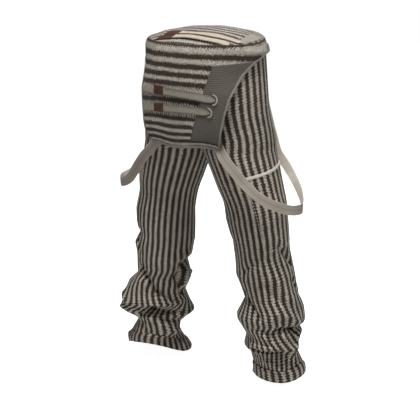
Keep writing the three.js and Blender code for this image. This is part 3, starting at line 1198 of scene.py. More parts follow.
    def hem_edge(self, side: Side, turn: Array) -> Array:
        """Height of a hem's lower edge: raised in front and inside, on the floor at the heel.

        Args:
            side: The leg.
            turn: Where each point lies round it, in radians.

        Returns:
            The heights.
        """
        turns, rises = np.array(self.hem_rises[side.value]).T
        return -HEEL_DROP + np.interp(np.degrees(turn) % 360, turns, rises, period=360)


@dataclass
class Trousers:
    """Panels, hems, waistbands and their stitching."""

    wardrobe: Wardrobe
    shape: TrouserShape = field(default_factory=TrouserShape)
    columns: int = 84
    rows: int = 250
    panel_flat: tuple[float, float] = (0.34, 0.98)
    panel_area: float = 0.27
    hem_flat: tuple[float, float] = (0.55, 0.034)
    hem_overlap: float = 0.003
    band_flat: tuple[float, float] = (0.49, 0.036)

    def panel(self, side: Side, facing: int) -> bpy.types.Object:
        """One panel.

        Args:
            side: The half that it belongs to.
            facing: 1 for the front panel, -1 for the back one.

        Returns:
            The panel's cloth.
        """
        u, v = grid(self.columns, self.rows)
        turn = facing * mix(0.004, math.pi - 0.004, u)
        low = self.shape.hem_edge(side, turn) + HEM_BAND + SEAM_GAP
        height = mix(low, BAND_BOTTOM - SEAM_GAP, v)
        outside = self.shape.cloth(side, turn, height)
        flat = self.shape.smooth(side, turn, height)
        across, along = arc(flat, 1), arc(flat, 0)
        count = self.shape.stripe_count(side, turn, height, across)
        name = f"{side.word}_{'front' if facing > 0 else 'back'}_panel_cloth"
        lay = np.stack([count, along], -1)
        if side.value * facing > 0:
            outside, lay, across, along = (values[:, ::-1] for values in (outside, lay, across, along))
        return shell(name, outside, CLOTH_THICKNESS, lay, np.stack([across, along], -1), rounding=0.0006)

    def hem(self, side: Side) -> bpy.types.Object:
        """The turned-up band at a leg's foot, its stripes out of step with the leg's.

        Args:
            side: The leg.

        Returns:
            The band's cloth, which overlaps the panel's foot.
        """
        u, v = grid(128, 12)
        turn = mix(math.pi, -math.pi, u) * side.value
        low = self.shape.hem_edge(side, turn)
        height = low + (HEM_BAND + self.hem_overlap) * v
        puff = CLOTH_THICKNESS + 0.0004 + 0.0006 * np.sin(np.pi * v)
        outside = self.shape.cloth(side, turn, height)
        across = arc(outside, 1)
        outside = outside + normals(outside) * puff[..., None]
        outside[:, -1] = outside[:, 0]
        count = np.round(across[:, -1:] / STRIPE_PITCH)
        lay = np.stack([across / across[:, -1:] * count + 0.45, arc(outside, 0)], -1)
        weave = np.stack([across, arc(outside, 0)], -1)
        return shell(f"{side.word}_hem_band", outside, CLOTH_THICKNESS, lay, weave, ring=True)

    def hem_stitches(self, side: Side) -> bpy.types.Object:
        """The row of stitches that holds a hem.

        Args:
            side: The leg.

        Returns:
            The stitches.
        """
        u, _ = grid(256, 1)
        turn = mix(math.pi, -math.pi, u[0]) * side.value
        height = self.shape.hem_edge(side, turn) + HEM_BAND - 0.004
        line = self.shape.cloth(side, turn, height)
        facing = line_facing(line, self.shape.cloth(side, turn, height + 0.003))
        laid = line + facing * (CLOTH_THICKNESS + 0.0009)
        return Thread().sew(f"{side.word}_hem_stitches", [(laid, facing)])

    def waistband(self, front: bool) -> bpy.types.Object:
        """Half of the waistband.

        Args:
            front: Whether it is the front half.

        Returns:
            The band's cloth.
        """
        start, end = (0.0, math.pi) if front else (-math.pi, 0.0)
        u, v = grid(96, 10)
        angle = mix(end - 0.003, start + 0.003, u)
        outside = self.shape.hip(angle, mix(BAND_BOTTOM, BAND_TOP, v))
        across = arc(outside, 1)
        lay = np.stack([across / STRIPE_PITCH, arc(outside, 0)], -1)
        name = f"{'front' if front else 'back'}_waistband_cloth"
        return shell(name, outside, CLOTH_THICKNESS, lay, np.stack([across, arc(outside, 0)], -1))

    def band_stitches(self) -> bpy.types.Object:
        """Two rows of stitches round the back of the waistband.

        Returns:
            The stitches.
        """
        lines = []
        for height in (BAND_BOTTOM + 0.004, BAND_TOP - 0.005):
            angle = np.linspace(-0.05, -math.pi + 0.05, 160)
            line = self.shape.hip(angle, np.full_like(angle, height))
            facing = line_facing(line, self.shape.hip(angle, np.full_like(angle, height + 0.003)))
            lines.append((line + facing * 0.0002, facing))
        return Thread().sew("waistband_stitches", lines)

    def build(self) -> None:
        """Builds and dresses every piece of the trousers."""
        w = self.wardrobe
        for side in Side:
            for facing, word in ((1, "front"), (-1, "back")):
                cloth = self.panel(side, facing)
                node = f"{side.word}_{word}_panel"
                wear(cloth, Body.TROUSERS, w.knit, w.knit_reverse, [node])
                band = f"{word}_waistband"
            hem = self.hem(side)
            wear(hem, Body.TROUSERS, w.knit, w.knit_reverse, [f"{side.word}_hem"])
            wear(self.hem_stitches(side), Body.TROUSERS, w.dark_thread)
        for front in (True, False):
            band = self.waistband(front)
            node = "front_waistband" if front else "back_waistband"
            wear(band, Body.TROUSERS, w.knit, w.knit_reverse, [node])
        wear(self.band_stitches(), Body.TROUSERS, w.thread)


@dataclass
class ThighPockets:
    """The two outer pockets with their pale piping and stitching."""

    wardrobe: Wardrobe
    shape: TrouserShape = field(default_factory=TrouserShape)
    cloth_thickness: float = 0.0016
    puff: float = 0.0009
    piping_top: float = 1.036
    flat: tuple[float, float] = (0.15, 0.225)
    area: float = 0.031

    def spot(self, u: Array, v: Array) -> tuple[Array, Array]:
        """Turn round the leg and height of a place in the pocket; its top slants and is wider."""
        turn = mix(mix(0.9, 1.06, v), mix(-0.32, -0.5, v), u)
        return turn, mix(mix(0.388, 0.406, u), mix(0.598, 0.626, u), v)

    def place(self, side: Side, u: Array, v: Array) -> Array:
        """Points of the cloth under a pocket.

        Args:
            side: The leg.
            u: Shares from the pocket's front edge to its back.
            v: Shares from its bottom to its top.

        Returns:
            The points.
        """
        return self.shape.cloth(side, *self.spot(u, v))

    def pocket(self, side: Side) -> bpy.types.Object:
        """The pocket's cloth, its stripes in line with the leg's.

        Args:
            side: The leg.

        Returns:
            The cloth.
        """
        u, v = grid(60, 72)
        ground = self.place(side, u, v)
        if not faces_away(ground, side.value * 0.15, 0.02):
            ground, u = ground[:, ::-1], u[:, ::-1]
        puff = self.puff * np.sin(np.pi * v) * np.sin(np.pi * u)
        outside = lifted(ground, SEAM_GAP + self.cloth_thickness + puff)
        count = self.shape.stripe_count(side, *self.spot(u, v))
        along = arc(ground, 0)
        return shell(
            f"{side.word}_thigh_pocket_cloth", outside, self.cloth_thickness, np.stack([count, along], -1),
            np.stack([arc(ground, 1), along], -1), rounding=0.0005,
        )

    def piping_face(self, side: Side) -> Callable[[Array, Array], Array]:
        """The face under the piping along a pocket's top.

        Args:
            side: The leg.

        Returns:
            A function from shares u and v to points.
        """
        def face(u: Array, v: Array) -> Array:
            """Points of the strip."""
            return self.place(side, side.mirrored(u), mix(1.0, self.piping_top, v))
        return face

    def stitches(self, side: Side) -> bpy.types.Object:
        """Stitches along the pocket's bottom and its two upright edges.

        Args:
            side: The leg.

        Returns:
            The stitches.
        """
        run = np.linspace(0.02, 0.98, 90)
        lines = []
        for edge in ("bottom", "front", "back"):
            fixed = np.full_like(run, 0.03)
            u, v = {"bottom": (run, fixed), "front": (fixed, run), "back": (1 - fixed, run)}[edge]
            here = self.place(side, u, v)
            beside = self.place(side, u + 0.01, v) - here
            above = self.place(side, u, v + 0.01) - here
            facing = unit(np.cross(beside, above)) * side.value
            lines.append((here + facing * 0.0024, facing))
        return Thread(0.0055, 0.0035, 0.0009).sew(f"{side.word}_pocket_stitches", lines)

    def build(self) -> None:
        """Builds and dresses both pockets."""
        w = self.wardrobe
        for side in Side:
            cloth = self.pocket(side)
            wear(cloth, Body.TROUSERS, w.knit, None, [f"{side.word}_thigh_pocket"])
            face = self.piping_face(side)
            piping = sewn(f"{side.word}_pocket_piping_tape", face, 60, 4, 0.0008, 0.0026)
            wear(piping, Body.TROUSERS, w.piping, None, [f"{side.word}_pocket_piping"])
            seams = self.stitches(side)
            wear(seams, Body.TROUSERS, w.piping)


# ---- Bib -------------------------------------------------------------------------------------------
@dataclass(frozen=True)
class Tab:
    """One buttoned tab: a pale base, a leather keeper, the tab itself and the loop round its tip."""

    name: str
    body: Body
    height: float
    fall: float
    width: float
    length: float
    base_length: float


@dataclass
class Bib:
    """The bib, folded over the front of the waist and hanging outside out.

    Edge rows are (height, half width, depth) of its side edges and middle rows are (height, depth) of
    its middle line, from the waist to the free edge. Bands are (height, width) of its dark stripes.
    Wing rows are (share of the way down, how far back, how far up) the sides wrap round the hips.
    """

    wardrobe: Wardrobe
    edge: Rows = (
        (0.950, 0.180, -0.045), (0.915, 0.177, -0.054), (0.898, 0.174, -0.066), (0.854, 0.161, -0.087),
        (0.820, 0.150, -0.104), (0.774, 0.140, -0.114), (0.717, 0.129, -0.118), (0.673, 0.117, -0.106),
    )
    middle: Rows = (
        (0.957, -0.139), (0.925, -0.143), (0.885, -0.144), (0.845, -0.144),
        (0.805, -0.144), (0.765, -0.143), (0.724, -0.140), (0.686, -0.134),
    )
    reach: float = 0.985
    binding_share: float = 0.034
    bands: Rows = (
        (0.688, 0.010), (0.705, 0.010), (0.723, 0.010), (0.743, 0.011), (0.765, 0.010), (0.812, 0.0130),
        (0.858, 0.0140), (0.882, 0.0140), (0.906, 0.0140), (0.934, 0.0140), (0.962, 0.008),
    )
    wing: Rows = (
        (0.0, 0.092, -0.012), (0.08, 0.062, 0.006), (0.16, 0.039, 0.016), (0.24, 0.022, 0.017),
        (0.32, 0.011, 0.012), (0.42, 0.0, 0.0),
    )
    roll_share: float = 0.08
    flat: tuple[float, float] = (0.52, 0.30)
    area: float = 0.128
    rib_flat: tuple[float, float] = (0.125, 0.21)
    rib_area: float = 0.0165
    keeper_left: float = -0.082
    keeper_length: float = 0.038
    tabs: tuple[Tab, ...] = (
        Tab("upper", Body.UPPER_TAB, 0.837, 0.0105, 0.021, 0.158, 0.056),
        Tab("lower", Body.LOWER_TAB, 0.7885, -0.003, 0.020, 0.145, 0.048),
    )

    @property
    def tab_start(self) -> float:
        """Where both tabs start across, just past their keepers."""
        return self.keeper_left + self.keeper_length + 0.001

    def share_at(self, height: Array | float) -> Array | float:
        """Share of the way down the bib at a height of its middle line."""
        top, bottom = self.middle[0][0], self.middle[-1][0]
        return (top - height) / (top - bottom)

    def wing_at(self, s: Array, t: Array) -> tuple[Array, Array, Array]:
        """How a side of the bib wraps back round the hip.

        Args:
            s: Shares across, from -1 to 1.
            t: Shares of the way down.

        Returns:
            The share of the wrap at each point, and how far back and up it moves the cloth.
        """
        down, back, up = np.array(self.wing).T
        share = ease(np.abs(s), 0.45, self.reach)
        return share, share * np.interp(t, down, back), share * np.interp(t, down, up)

    def face(self, s: Array, t: Array) -> Array:
        """Points of the shown face.

        Args:
            s: Shares across, from -1 to 1 between the side edges.
            t: Shares of the way down, from 0 at the waist to 1 at the free edge; below 0 is the roll.

        Returns:
            The points.
        """
        s, t = np.broadcast_arrays(np.asarray(s, float), np.asarray(t, float))
        z_middle = mix(self.middle[0][0], self.middle[-1][0], t)
        z_edge = mix(self.edge[0][0], self.edge[-1][0], t)
        wrap = mix(0.965, 0.6, np.clip(t, 0, 1))
        bend = (1 - np.sqrt(np.maximum(1 - (wrap * s) ** 2, 0.0))) / (1 - np.sqrt(1 - wrap**2))
        x = s * station(self.edge, z_edge, 1)
        y = mix(station(self.middle, z_middle, 1), station(self.edge, z_edge, 2), bend)
        z = mix(z_middle, z_edge, bend)
        _, back, rise = self.wing_at(s, t)
        y = y + back
        z = z + rise
        beside = np.clip((y + 0.005) / 0.126, -0.999, 0.999)
        clear = 0.181 * np.sqrt(1 - beside**2) + 0.0065
        pushed = clear * ease(np.abs(s), 0.15, 0.40)
        outer = (np.abs(x) + pushed + np.hypot(np.abs(x) - pushed, 0.006)) / 2
        x = np.sign(s) * mix(np.abs(x), outer, (1 - ease(t, 0.30, 0.50)) * ease(np.abs(s), 0.1, 0.3))
        loose = ease(t, 0.55, 1.0)
        y = y - 0.0025 * loose * np.sin(4.4 * s + 0.6) - 0.0012 * np.sin(9 * s + 4 * t)
        z = z + 0.006 * loose * np.sin(3.6 * s - 1.1)
        hanging = points(x, y + DEPTH_SHIFT, z + HEEL_DROP)
        if np.min(t) >= 0:
            return hanging
        return self.rolled(hanging, np.clip(-t / self.roll_share, 0, 1))

    def rolled(self, hanging: Array, roll: Array) -> Array:
        """The top edge's points moved in towards the yoke's rim.

        Args:
            hanging: Points of the hanging face.
            roll: Share of the way in, from 0 to 1.

        Returns:
            The points, over a low rounded shoulder.
        """
        away = hanging - (0, DEPTH_SHIFT - 0.003, 0)
        share = np.hypot(away[..., 0] / 0.174, away[..., 1] / 0.119)
        rim = away / np.maximum(share, 0.2)[..., None] * 0.995
        height = BAND_TOP + HEEL_DROP + 0.127 * rim[..., 1] + 0.0040
        rim = points(rim[..., 0], rim[..., 1] + DEPTH_SHIFT - 0.003, height)
        place = mix(hanging, rim, roll[..., None])
        place[..., 2] += 0.0035 * np.sin(np.pi * roll)
        return place

    def at(self, x: Array, height: Array) -> Array:
        """Points of the shown face at a distance across and a height.

        Args:
            x: Distances across from the middle line.
            height: Heights where the row would cross the middle line.

        Returns:
            The points.
        """
        t = self.share_at(height)
        z_edge = mix(self.edge[0][0], self.edge[-1][0], t)
        return self.face(x / station(self.edge, z_edge, 1), t)

    def panel(self) -> bpy.types.Object:
        """The bib's striped cloth, with its stripes at their own heights.

        Returns:
            The cloth.
        """
        u, v = grid(150, 120)
        s, t = mix(-self.reach, self.reach, u), mix(1, -self.roll_share, v)
        outside = self.face(s, t)
        height = mix(self.middle[0][0], self.middle[-1][0], t) + self.wing_at(s, t)[2]
        edges = [z + sign * width / 2 for z, width in self.bands for sign in (-1, 1)]
        counts = [k + sign * 0.25 for k in range(len(self.bands)) for sign in (-1, 1)]
        count = np.interp(height, edges, counts)
        across = arc(outside, 1)
        return shell(
            "bib_cloth", outside, CLOTH_THICKNESS, np.stack([count, across], -1),
            np.stack([across, arc(outside, 0)], -1),
        )

    def edge_strip(self, side: Side) -> Callable[[Array, Array], Array]:
        """The face under one side binding.

        Args:
            side: The side edge that it lies on.

        Returns:
            A function from shares u and v to points.
        """
        inner, outer = self.reach - self.binding_share, self.reach + 0.004

        def face(u: Array, v: Array) -> Array:
            """Points of the strip."""
            return self.face(side.value * mix(inner, outer, side.mirrored(u)), mix(0.985, -0.03, v))
        return face

    def rib_face(self, u: Array, v: Array) -> Array:
        """Points of the face under the rib panel, whose inner edge slants.

        Args:
            u: Shares from its inner edge to the side binding.
            v: Shares from its bottom to its top.

        Returns:
            The points.
        """
        t = mix(0.925, 0.175, v)
        half = station(self.edge, mix(self.edge[0][0], self.edge[-1][0], t), 1)
        inner = mix(0.042, 0.101, v) / half
        return self.face(mix(inner, self.reach - self.binding_share - 0.004, u), t)

    def tab_row(self, tab: Tab, x: Array) -> Array:
        """Height of a tab's middle line at x, which falls from the keeper to the tip."""
        return tab.height - tab.fall * (x - self.keeper_left) / (self.keeper_length + tab.length)

    def tab_face(
        self, tab: Tab, left: float, right: float, tip: float = 0.0, grow: float = 0.0
    ) -> Callable[[Array, Array], Array]:
        """The face under a straight strip or a round-tipped tab.

        Args:
            tab: The tab whose row the strip lies in.
            left: Where it starts across.
            right: Where it ends across.
            tip: Length of its rounded end; 0 ends it square.
            grow: How much wider than the tab it is.

        Returns:
            A function from shares u and v to points.
        """
        def face(u: Array, v: Array) -> Array:
            """Points of the strip.

            Args:
                u: Shares across.
                v: Shares along.

            Returns:
                The points.
            """
            x = mix(left, right, u)
            half = (tab.width + grow) / 2 * (tip_taper(x, right, tip) if tip else 1)
            return self.at(x, self.tab_row(tab, x) + mix(-1, 1, v) * half)
        return face

    def loop_face(self, tab: Tab) -> Callable[[Array, Array], Array]:
        """The face under the cord loop round a tab's tip.

        Args:
            tab: The tab.

        Returns:
            A function from shares u, out from the tip, and v, round it, to points.
        """
        centre = self.tab_start + tab.length - tab.width / 2 + 0.001

        def face(u: Array, v: Array) -> Array:
            """Points of the loop's strip.

            Args:
                u: Shares across.
                v: Shares along.

            Returns:
                The points.
            """
            angle = mix(-1.35, 1.35, v)
            reach = mix(tab.width / 2 + 0.0012, tab.width / 2 + 0.0052, u)
            x = centre + reach * np.cos(angle)
            return self.at(x, self.tab_row(tab, x) + reach * np.sin(angle))
        return face

    def outline(
        self, face: Callable[[Array, Array], Array], inset: float, lift: float
    ) -> tuple[Array, Array]:
        """A line of stitches inside a tab's long edges and tip.

        Args:
            face: The face under the tab.
            inset: How far in the line lies, as a share of the tab's width.
            lift: How far above the face the thread lies.

        Returns:
            The line's points and the cloth's normals there.
        """
        run = np.linspace(0.03, 0.955, 90)
        low, high = np.full_like(run, inset), np.full_like(run, 1 - inset)
        tip = np.linspace(inset, 1 - inset, 18)
        u = np.concatenate([run, np.full_like(tip, 0.965), run[::-1]])
        v = np.concatenate([low, tip, high])
        return seam_line(face, u, v, lift)

    def build_tab(self, tab: Tab) -> list[bpy.types.Object]:
        """Builds and dresses one tab with its base, keeper, loop and stitches.

        Args:
            tab: The tab.

        Returns:
            The base, the keeper and the loop, which stay on the bib.
        """
        w = self.wardrobe
        left, right = self.keeper_left, self.keeper_left + self.keeper_length
        base_face = self.tab_face(tab, left - tab.base_length, left - 0.0006, grow=0.001)
        base = sewn(f"{tab.name}_tab_base_cloth", base_face, 24, 8, 0.0009, 0.0014)
        wear(base, Body.BIB, w.cotton, None, [f"{tab.name}_tab_base"])
        keeper_face = self.tab_face(tab, left, right, grow=0.004)
        keeper = sewn(f"{tab.name}_keeper_leather", keeper_face, 16, 12, 0.0005, 0.0030)
        wear(keeper, Body.BIB, w.leather, None, [f"{tab.name}_keeper"])
        tab_face = self.tab_face(tab, self.tab_start, self.tab_start + tab.length, tab.width * 1.25)
        cloth = sewn(f"{tab.name}_tab_cloth", tab_face, 72, 12, 0.0027, 0.0017)
        wear(cloth, tab.body, w.cotton, None, [f"{tab.name}_tab"])
        seams = Thread(0.0032, 0.0014, 0.0004).sew(
            f"{tab.name}_tab_stitches", [self.outline(tab_face, 0.12, 0.0046)]
        )
        wear(seams, tab.body, w.dark_thread)
        loop = sewn(f"{tab.name}_tip_loop_cord", self.loop_face(tab), 6, 28, 0.0026, 0.0024)
        wear(loop, Body.BIB, w.cord, None, [f"{tab.name}_tip_loop"])
        return [base, keeper, loop]

    def build(self) -> None:
        """Builds and dresses every piece of the bib."""
        w = self.wardrobe
        cloth = self.panel()
        wear(cloth, Body.BIB, w.knit, w.knit_reverse, ["bib_panel"])
        trims: list[bpy.types.Object] = []
        for side in Side:
            tape = sewn(f"{side.word}_edge_binding_tape", self.edge_strip(side), 4, 90, 0.0009, 0.0013)
            wear(tape, Body.BIB, w.tape, None, [f"{side.word}_edge_binding"])
            behind = -CLOTH_THICKNESS - 0.0024
            patch = sewn(f"{side.word}_strap_patch_cloth", self.patch_face(side), 10, 8, behind, 0.0018)
            wear(patch, Body.BIB, w.webbing, None, [f"{side.word}_strap_patch"])
            trims += [tape, patch]
        bottom = sewn("bottom_binding_tape", self.bottom_face, 120, 4, 0.0009, 0.0013)
        wear(bottom, Body.BIB, w.tape, None, ["bottom_binding"])
        rib = sewn("rib_panel_knit", self.rib_face, 48, 90, 0.0008, 0.0012)
        wear(rib, Body.BIB, w.rib, None, ["rib_panel"])
        run = np.linspace(0.01, 0.99, 140)
        inner = seam_line(self.rib_face, np.full_like(run, 0.02), run, 0.0023)
        lower = seam_line(self.rib_face, run, np.full_like(run, 0.012), 0.0023)
        seams = Thread(0.0034, 0.002, 0.00045).sew("rib_panel_stitches", [inner, lower])
        wear(seams, Body.BIB, w.dark_thread)
        trims += [bottom, seams]
        for tab in self.tabs:
            trims += self.build_tab(tab)

    def bottom_face(self, u: Array, v: Array) -> Array:
        """Points of the face under the free edge's binding."""
        return self.face(mix(-self.reach, self.reach, u), mix(1.004, 0.974, v))

    def patch_face(self, side: Side) -> Callable[[Array, Array], Array]:
        """The face over a strap patch, behind a free corner.

        Args:
            side: The corner's side.

        Returns:
            A function from shares u and v to points.
        """
        def face(u: Array, v: Array) -> Array:
            """Points of the patch."""
            return self.face(side.value * mix(0.80, 0.965, side.mirrored(u)), mix(0.95, 0.87, v))
        return face


# ---- Yoke ------------------------------------------------------------------------------------------
@dataclass(frozen=True)
class YokeTab:
    """One of the yoke's tabs, in shares of the yoke's half width and half depth."""

    body: Body
    left: float
    right: float
    tip: float
    row: float


@dataclass
class Yoke:
    """The back yoke, lying folded forwards over the waist opening."""

    wardrobe: Wardrobe
    half_width: float = 0.174
    half_depth: float = 0.119
    thickness: float = 0.0034
    dome: float = 0.024
    depth_centre: float = -0.003
    tabs: tuple[YokeTab, ...] = (
        YokeTab(Body.YOKE_BACK_TAB, -0.57, -0.295, 0.85, -0.43),
        YokeTab(Body.YOKE_FRONT_TAB, -0.62, -0.315, 0.735, -0.635),
    )
    tab_half: float = 0.082
    stripe_pitch: float = 0.020
    flat: tuple[float, float] = (0.355, 0.245)
    area: float = 0.068
    rib_flat: tuple[float, float] = (0.030, 0.076)

    def at(self, x: Array, y: Array) -> Array:
        """Points of the upper face over a plan.

        Args:
            x: Places across, in shares of the half width.
            y: Places from front to back, in shares of the half depth.

        Returns:
            The points.
        """
        x, y = np.broadcast_arrays(np.asarray(x, float), np.asarray(y, float))
        inside = np.maximum(1 - x * x - y * y, 0)
        dome = self.dome * inside**0.8
        rim = BAND_TOP + 0.0005 + 0.127 * y * self.half_depth
        ripple = 0.0011 * np.sin(8 * x + 2) * np.sin(9 * y + 1) * np.minimum(4 * inside, 1)
        return points(
            x * self.half_width,
            self.depth_centre + y * self.half_depth + DEPTH_SHIFT,
            rim + self.thickness + dome + ripple + HEEL_DROP,
        )

    def face(self, a: Array, b: Array) -> Array:
        """Points of the upper face, on a square grid drawn out to the oval rim.

        Args:
            a: Places across, from -1 to 1.
            b: Places from front to back, from -1 to 1.

        Returns:
            The points.
        """
        a, b = np.broadcast_arrays(np.asarray(a, float), np.asarray(b, float))
        x = a * np.sqrt(np.maximum(1 - b * b / 2, 0))
        y = b * np.sqrt(np.maximum(1 - a * a / 2, 0))
        return self.at(x, y)

    def panel(self) -> bpy.types.Object:
        """The yoke's striped cloth; its stripes run across.

        Returns:
            The cloth.
        """
        u, v = grid(110, 90)
        a, b = mix(-1, 1, u), mix(-1, 1, v)
        outside = self.face(a, b)
        depth = b * np.sqrt(np.maximum(1 - a * a / 2, 0)) * self.half_depth
        lean = 0.006 * a
        count = (depth + lean - 0.0745) / self.stripe_pitch
        across = arc(outside, 1)
        return shell(
            "yoke_cloth", outside, self.thickness, np.stack([count, across], -1),
            np.stack([across, arc(outside, 0)], -1), rounding=0.001,
        )

    def rim_face(self, u: Array, v: Array) -> Array:
        """The face under the binding of the front edge."""
        return self.face(mix(-0.97, 0.97, u), mix(-1, -0.95, v))

    def rib_face(self, u: Array, v: Array) -> Array:
        """The face under the rib panel, which runs out to the left side of the rim."""
        y = mix(-0.42, 0.20, v)
        return self.at(mix(0.78, np.sqrt(1 - y * y) - 0.03, u), y)

    def strip(
        self, left: float, right: float, row: float, half: float, tip: float = 0.0
    ) -> Callable[[Array, Array], Array]:
        """The face under a strip across the yoke.

        Args:
            left: Where it starts across, as a share.
            right: Where it ends.
            row: Its middle's place from front to back.
            half: Half its width.
            tip: Length of its round end; 0 ends it square.

        Returns:
            A function from shares u and v to points.
        """
        def face(u: Array, v: Array) -> Array:
            """Points of the strip.

            Args:
                u: Shares across.
                v: Shares along.

            Returns:
                The points.
            """
            place = mix(left, right, u)
            wide = half * (tip_taper(place, right, tip) if tip else 1)
            return self.at(place, row + mix(-1, 1, v) * wide)
        return face

    def build_tab(self, tab: YokeTab) -> bpy.types.Object:
        """Builds and dresses one tab, its keeper and its stitches.

        Args:
            tab: The tab.

        Returns:
            The keeper, which stays on the yoke.
        """
        w = self.wardrobe
        word = tab.body.value.removesuffix("_tab")
        place = self.strip(tab.left, tab.right, tab.row, self.tab_half + 0.01)
        keeper = sewn(f"{word}_keeper_leather", place, 14, 10, 0.0010, 0.0030)
        wear(keeper, Body.YOKE, w.leather, None, [f"{word}_keeper"])
        face = self.strip(tab.right + 0.006, tab.tip, tab.row, self.tab_half, 0.12)
        cloth = sewn(f"{word}_tab_cloth", face, 64, 12, 0.0022, 0.0017)
        wear(cloth, tab.body, w.yoke_cotton_painted_light, None, [f"{word}_tab"])
        run = np.linspace(0.03, 0.96, 80)
        lines = [seam_line(face, run, np.full_like(run, edge), 0.0041) for edge in (0.1, 0.9)]
        wear(Thread().sew(f"{word}_tab_stitches", lines), tab.body, w.dark_thread)
        return keeper

    def build(self) -> None:
        """Builds and dresses every piece of the yoke."""
        w = self.wardrobe
        cloth = self.panel()
        wear(cloth, Body.YOKE, w.yoke_knit_painted_shade, w.knit_reverse, ["yoke_panel"])
        rim = sewn("yoke_edge_binding_tape", self.rim_face, 90, 4, 0.0005, 0.0014)
        wear(rim, Body.YOKE, w.tape, None, ["yoke_edge_binding"])
        rib = sewn("yoke_rib_panel_knit", self.rib_face, 30, 50, 0.0005, 0.0012)
        wear(rib, Body.YOKE, w.yoke_rib, None, ["yoke_rib_panel"])
        trims = [rim] + [self.build_tab(tab) for tab in self.tabs]


# ---- Straps ----------------------------------------------------------------------------------------
@dataclass
class Straps:
    """The two webbing straps, from the bib's free corners round the thighs to the back of the waist.

    The route is (across, depth, height, lean in degrees of the ribbon's width from upright).
    """

    wardrobe: Wardrobe
    width: float = 0.028
    thickness: float = 0.0026
    steps: int = 300
    back: Rows = (
        (0.314, 0.000, 0.527, 0), (0.288, 0.042, 0.547, -12), (0.242, 0.084, 0.578, -22),
        (0.197, 0.114, 0.608, -28), (0.155, 0.131, 0.642, -26), (0.134, 0.134, 0.692, -18),
        (0.113, 0.134, 0.760, -8), (0.092, 0.132, 0.840, -4), (0.076, 0.130, 0.905, -2),
        (0.070, 0.129, 0.932, 0),
    )
    left_front: Rows = (
        (0.112, -0.104, 0.690, 34), (0.132, -0.110, 0.664, 38), (0.168, -0.113, 0.632, 42),
        (0.206, -0.105, 0.592, 40), (0.242, -0.082, 0.556, 30), (0.275, -0.056, 0.537, 22),
        (0.301, -0.029, 0.526, 14),
    )
    right_front: Rows = (
        (0.096, -0.108, 0.688, -22), (0.110, -0.112, 0.666, -26), (0.137, -0.114, 0.638, -28),
        (0.174, -0.104, 0.597, -30), (0.214, -0.083, 0.558, -26), (0.256, -0.058, 0.535, -14),
        (0.294, -0.031, 0.524, -4),
    )

    def route(self, side: Side) -> Rows:
        """The whole route of one strap."""
        return (self.left_front if side is Side.LEFT else self.right_front) + self.back

    def middle_line(self, side: Side, share: Array) -> Array:
        """Points of a strap's middle line, on a centripetal curve through its route.

        Args:
            side: The strap's side.
            share: Shares of the way from the bib to the back of the waist.

        Returns:
            The points.
        """
        route = self.route(side)
        knots = np.array([(side.value * x, y, z) for x, y, z, _ in route])
        first, last = 2 * knots[0] - knots[1], 2 * knots[-1] - knots[-2]
        knots = np.vstack([first, knots, last])
        place = np.clip(share, 0, 1) * (len(route) - 1)
        low = np.minimum(np.floor(place).astype(int), len(route) - 2)
        p = [knots[low + k] for k in range(4)]
        steps = [np.linalg.norm(p[k + 1] - p[k], axis=-1, keepdims=True) for k in range(3)]
        gaps = [np.maximum(step, 1e-9) ** 0.5 for step in steps]

        def tangent(k: int) -> Array:
            """The curve's slope at a knot, scaled to the middle gap.

            Args:
                k: 0 for the knot before each place, 1 for the knot after it.

            Returns:
                The slopes.
            """
            near, far = gaps[k], gaps[k + 1]
            across_both = (p[k + 2] - p[k]) / (near + far)
            return ((p[k + 1] - p[k]) / near - across_both + (p[k + 2] - p[k + 1]) / far) * gaps[1]

        t = (place - low)[:, None]
        curve = (
            (2 * t**3 - 3 * t**2 + 1) * p[1] + (t**3 - 2 * t**2 + t) * tangent(0)
            + (3 * t**2 - 2 * t**3) * p[2] + (t**3 - t**2) * tangent(1)
        )
        return curve + np.array([0, DEPTH_SHIFT, HEEL_DROP])

    def ribbon(self, side: Side) -> bpy.types.Object:
        """One strap as a flat ribbon.

        Args:
            side: The strap's side.

        Returns:
            The ribbon.
        """
        share = np.linspace(0, 1, self.steps + 1)
        middle = self.middle_line(side, share)
        along = unit(np.gradient(middle, axis=0))
        outward = unit(np.cross(along, [0, 0, 1])) * side.value
        rise = unit(np.cross(outward, along)) * side.value
        route = self.route(side)
        leans = [row[3] for row in route]
        lean = np.radians(np.interp(share * (len(route) - 1), np.arange(len(route)), leans))
        across = unit(rise * np.cos(lean)[:, None] - outward * np.sin(lean)[:, None])
        u, _ = grid(8, self.steps)
        surface = middle[:, None] + across[:, None] * ((u - 0.5) * self.width)[..., None]
        if not faces_away(surface, side.value * 0.13, 0.01):
            surface = surface[:, ::-1]
        surface = lifted(surface, self.thickness / 2)
        length = arc(surface, 0)
        return shell(
            f"{side.word}_strap_webbing", surface, self.thickness, np.stack([u, length], -1),
            np.stack([u * self.width, length], -1), rounding=0.0007,
        )

    def tack(self, side: Side) -> bpy.types.Object:
        """The patch of webbing that holds a strap's back end to the waistband.

        Args:
            side: The strap's side.

        Returns:
            The patch.
        """
        def face(u: Array, v: Array) -> Array:
            """Points of the waistband under the tack."""
            angle = -math.pi / 2 + side.value * mix(0.5, 0.26, side.mirrored(u))
            return TrouserShape().hip(angle, mix(0.934, 0.961, v))
        return sewn(f"{side.word}_strap_tack_webbing", face, 12, 8, 0.0005, 0.0016)

    def build(self) -> None:
        """Builds and dresses both straps."""
        w = self.wardrobe
        for side in Side:
            strap = self.ribbon(side)
            strap.data.materials.append(w.webbing)
            strap.data.materials.append(w.webbing_reverse)
            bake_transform(strap)
            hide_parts(f"{side.word}_strap")
            log.info("%s bends between trousers and bib", strap.name)
            wear(self.tack(side), Body.TROUSERS, w.webbing, None, [f"{side.word}_strap_tack"])


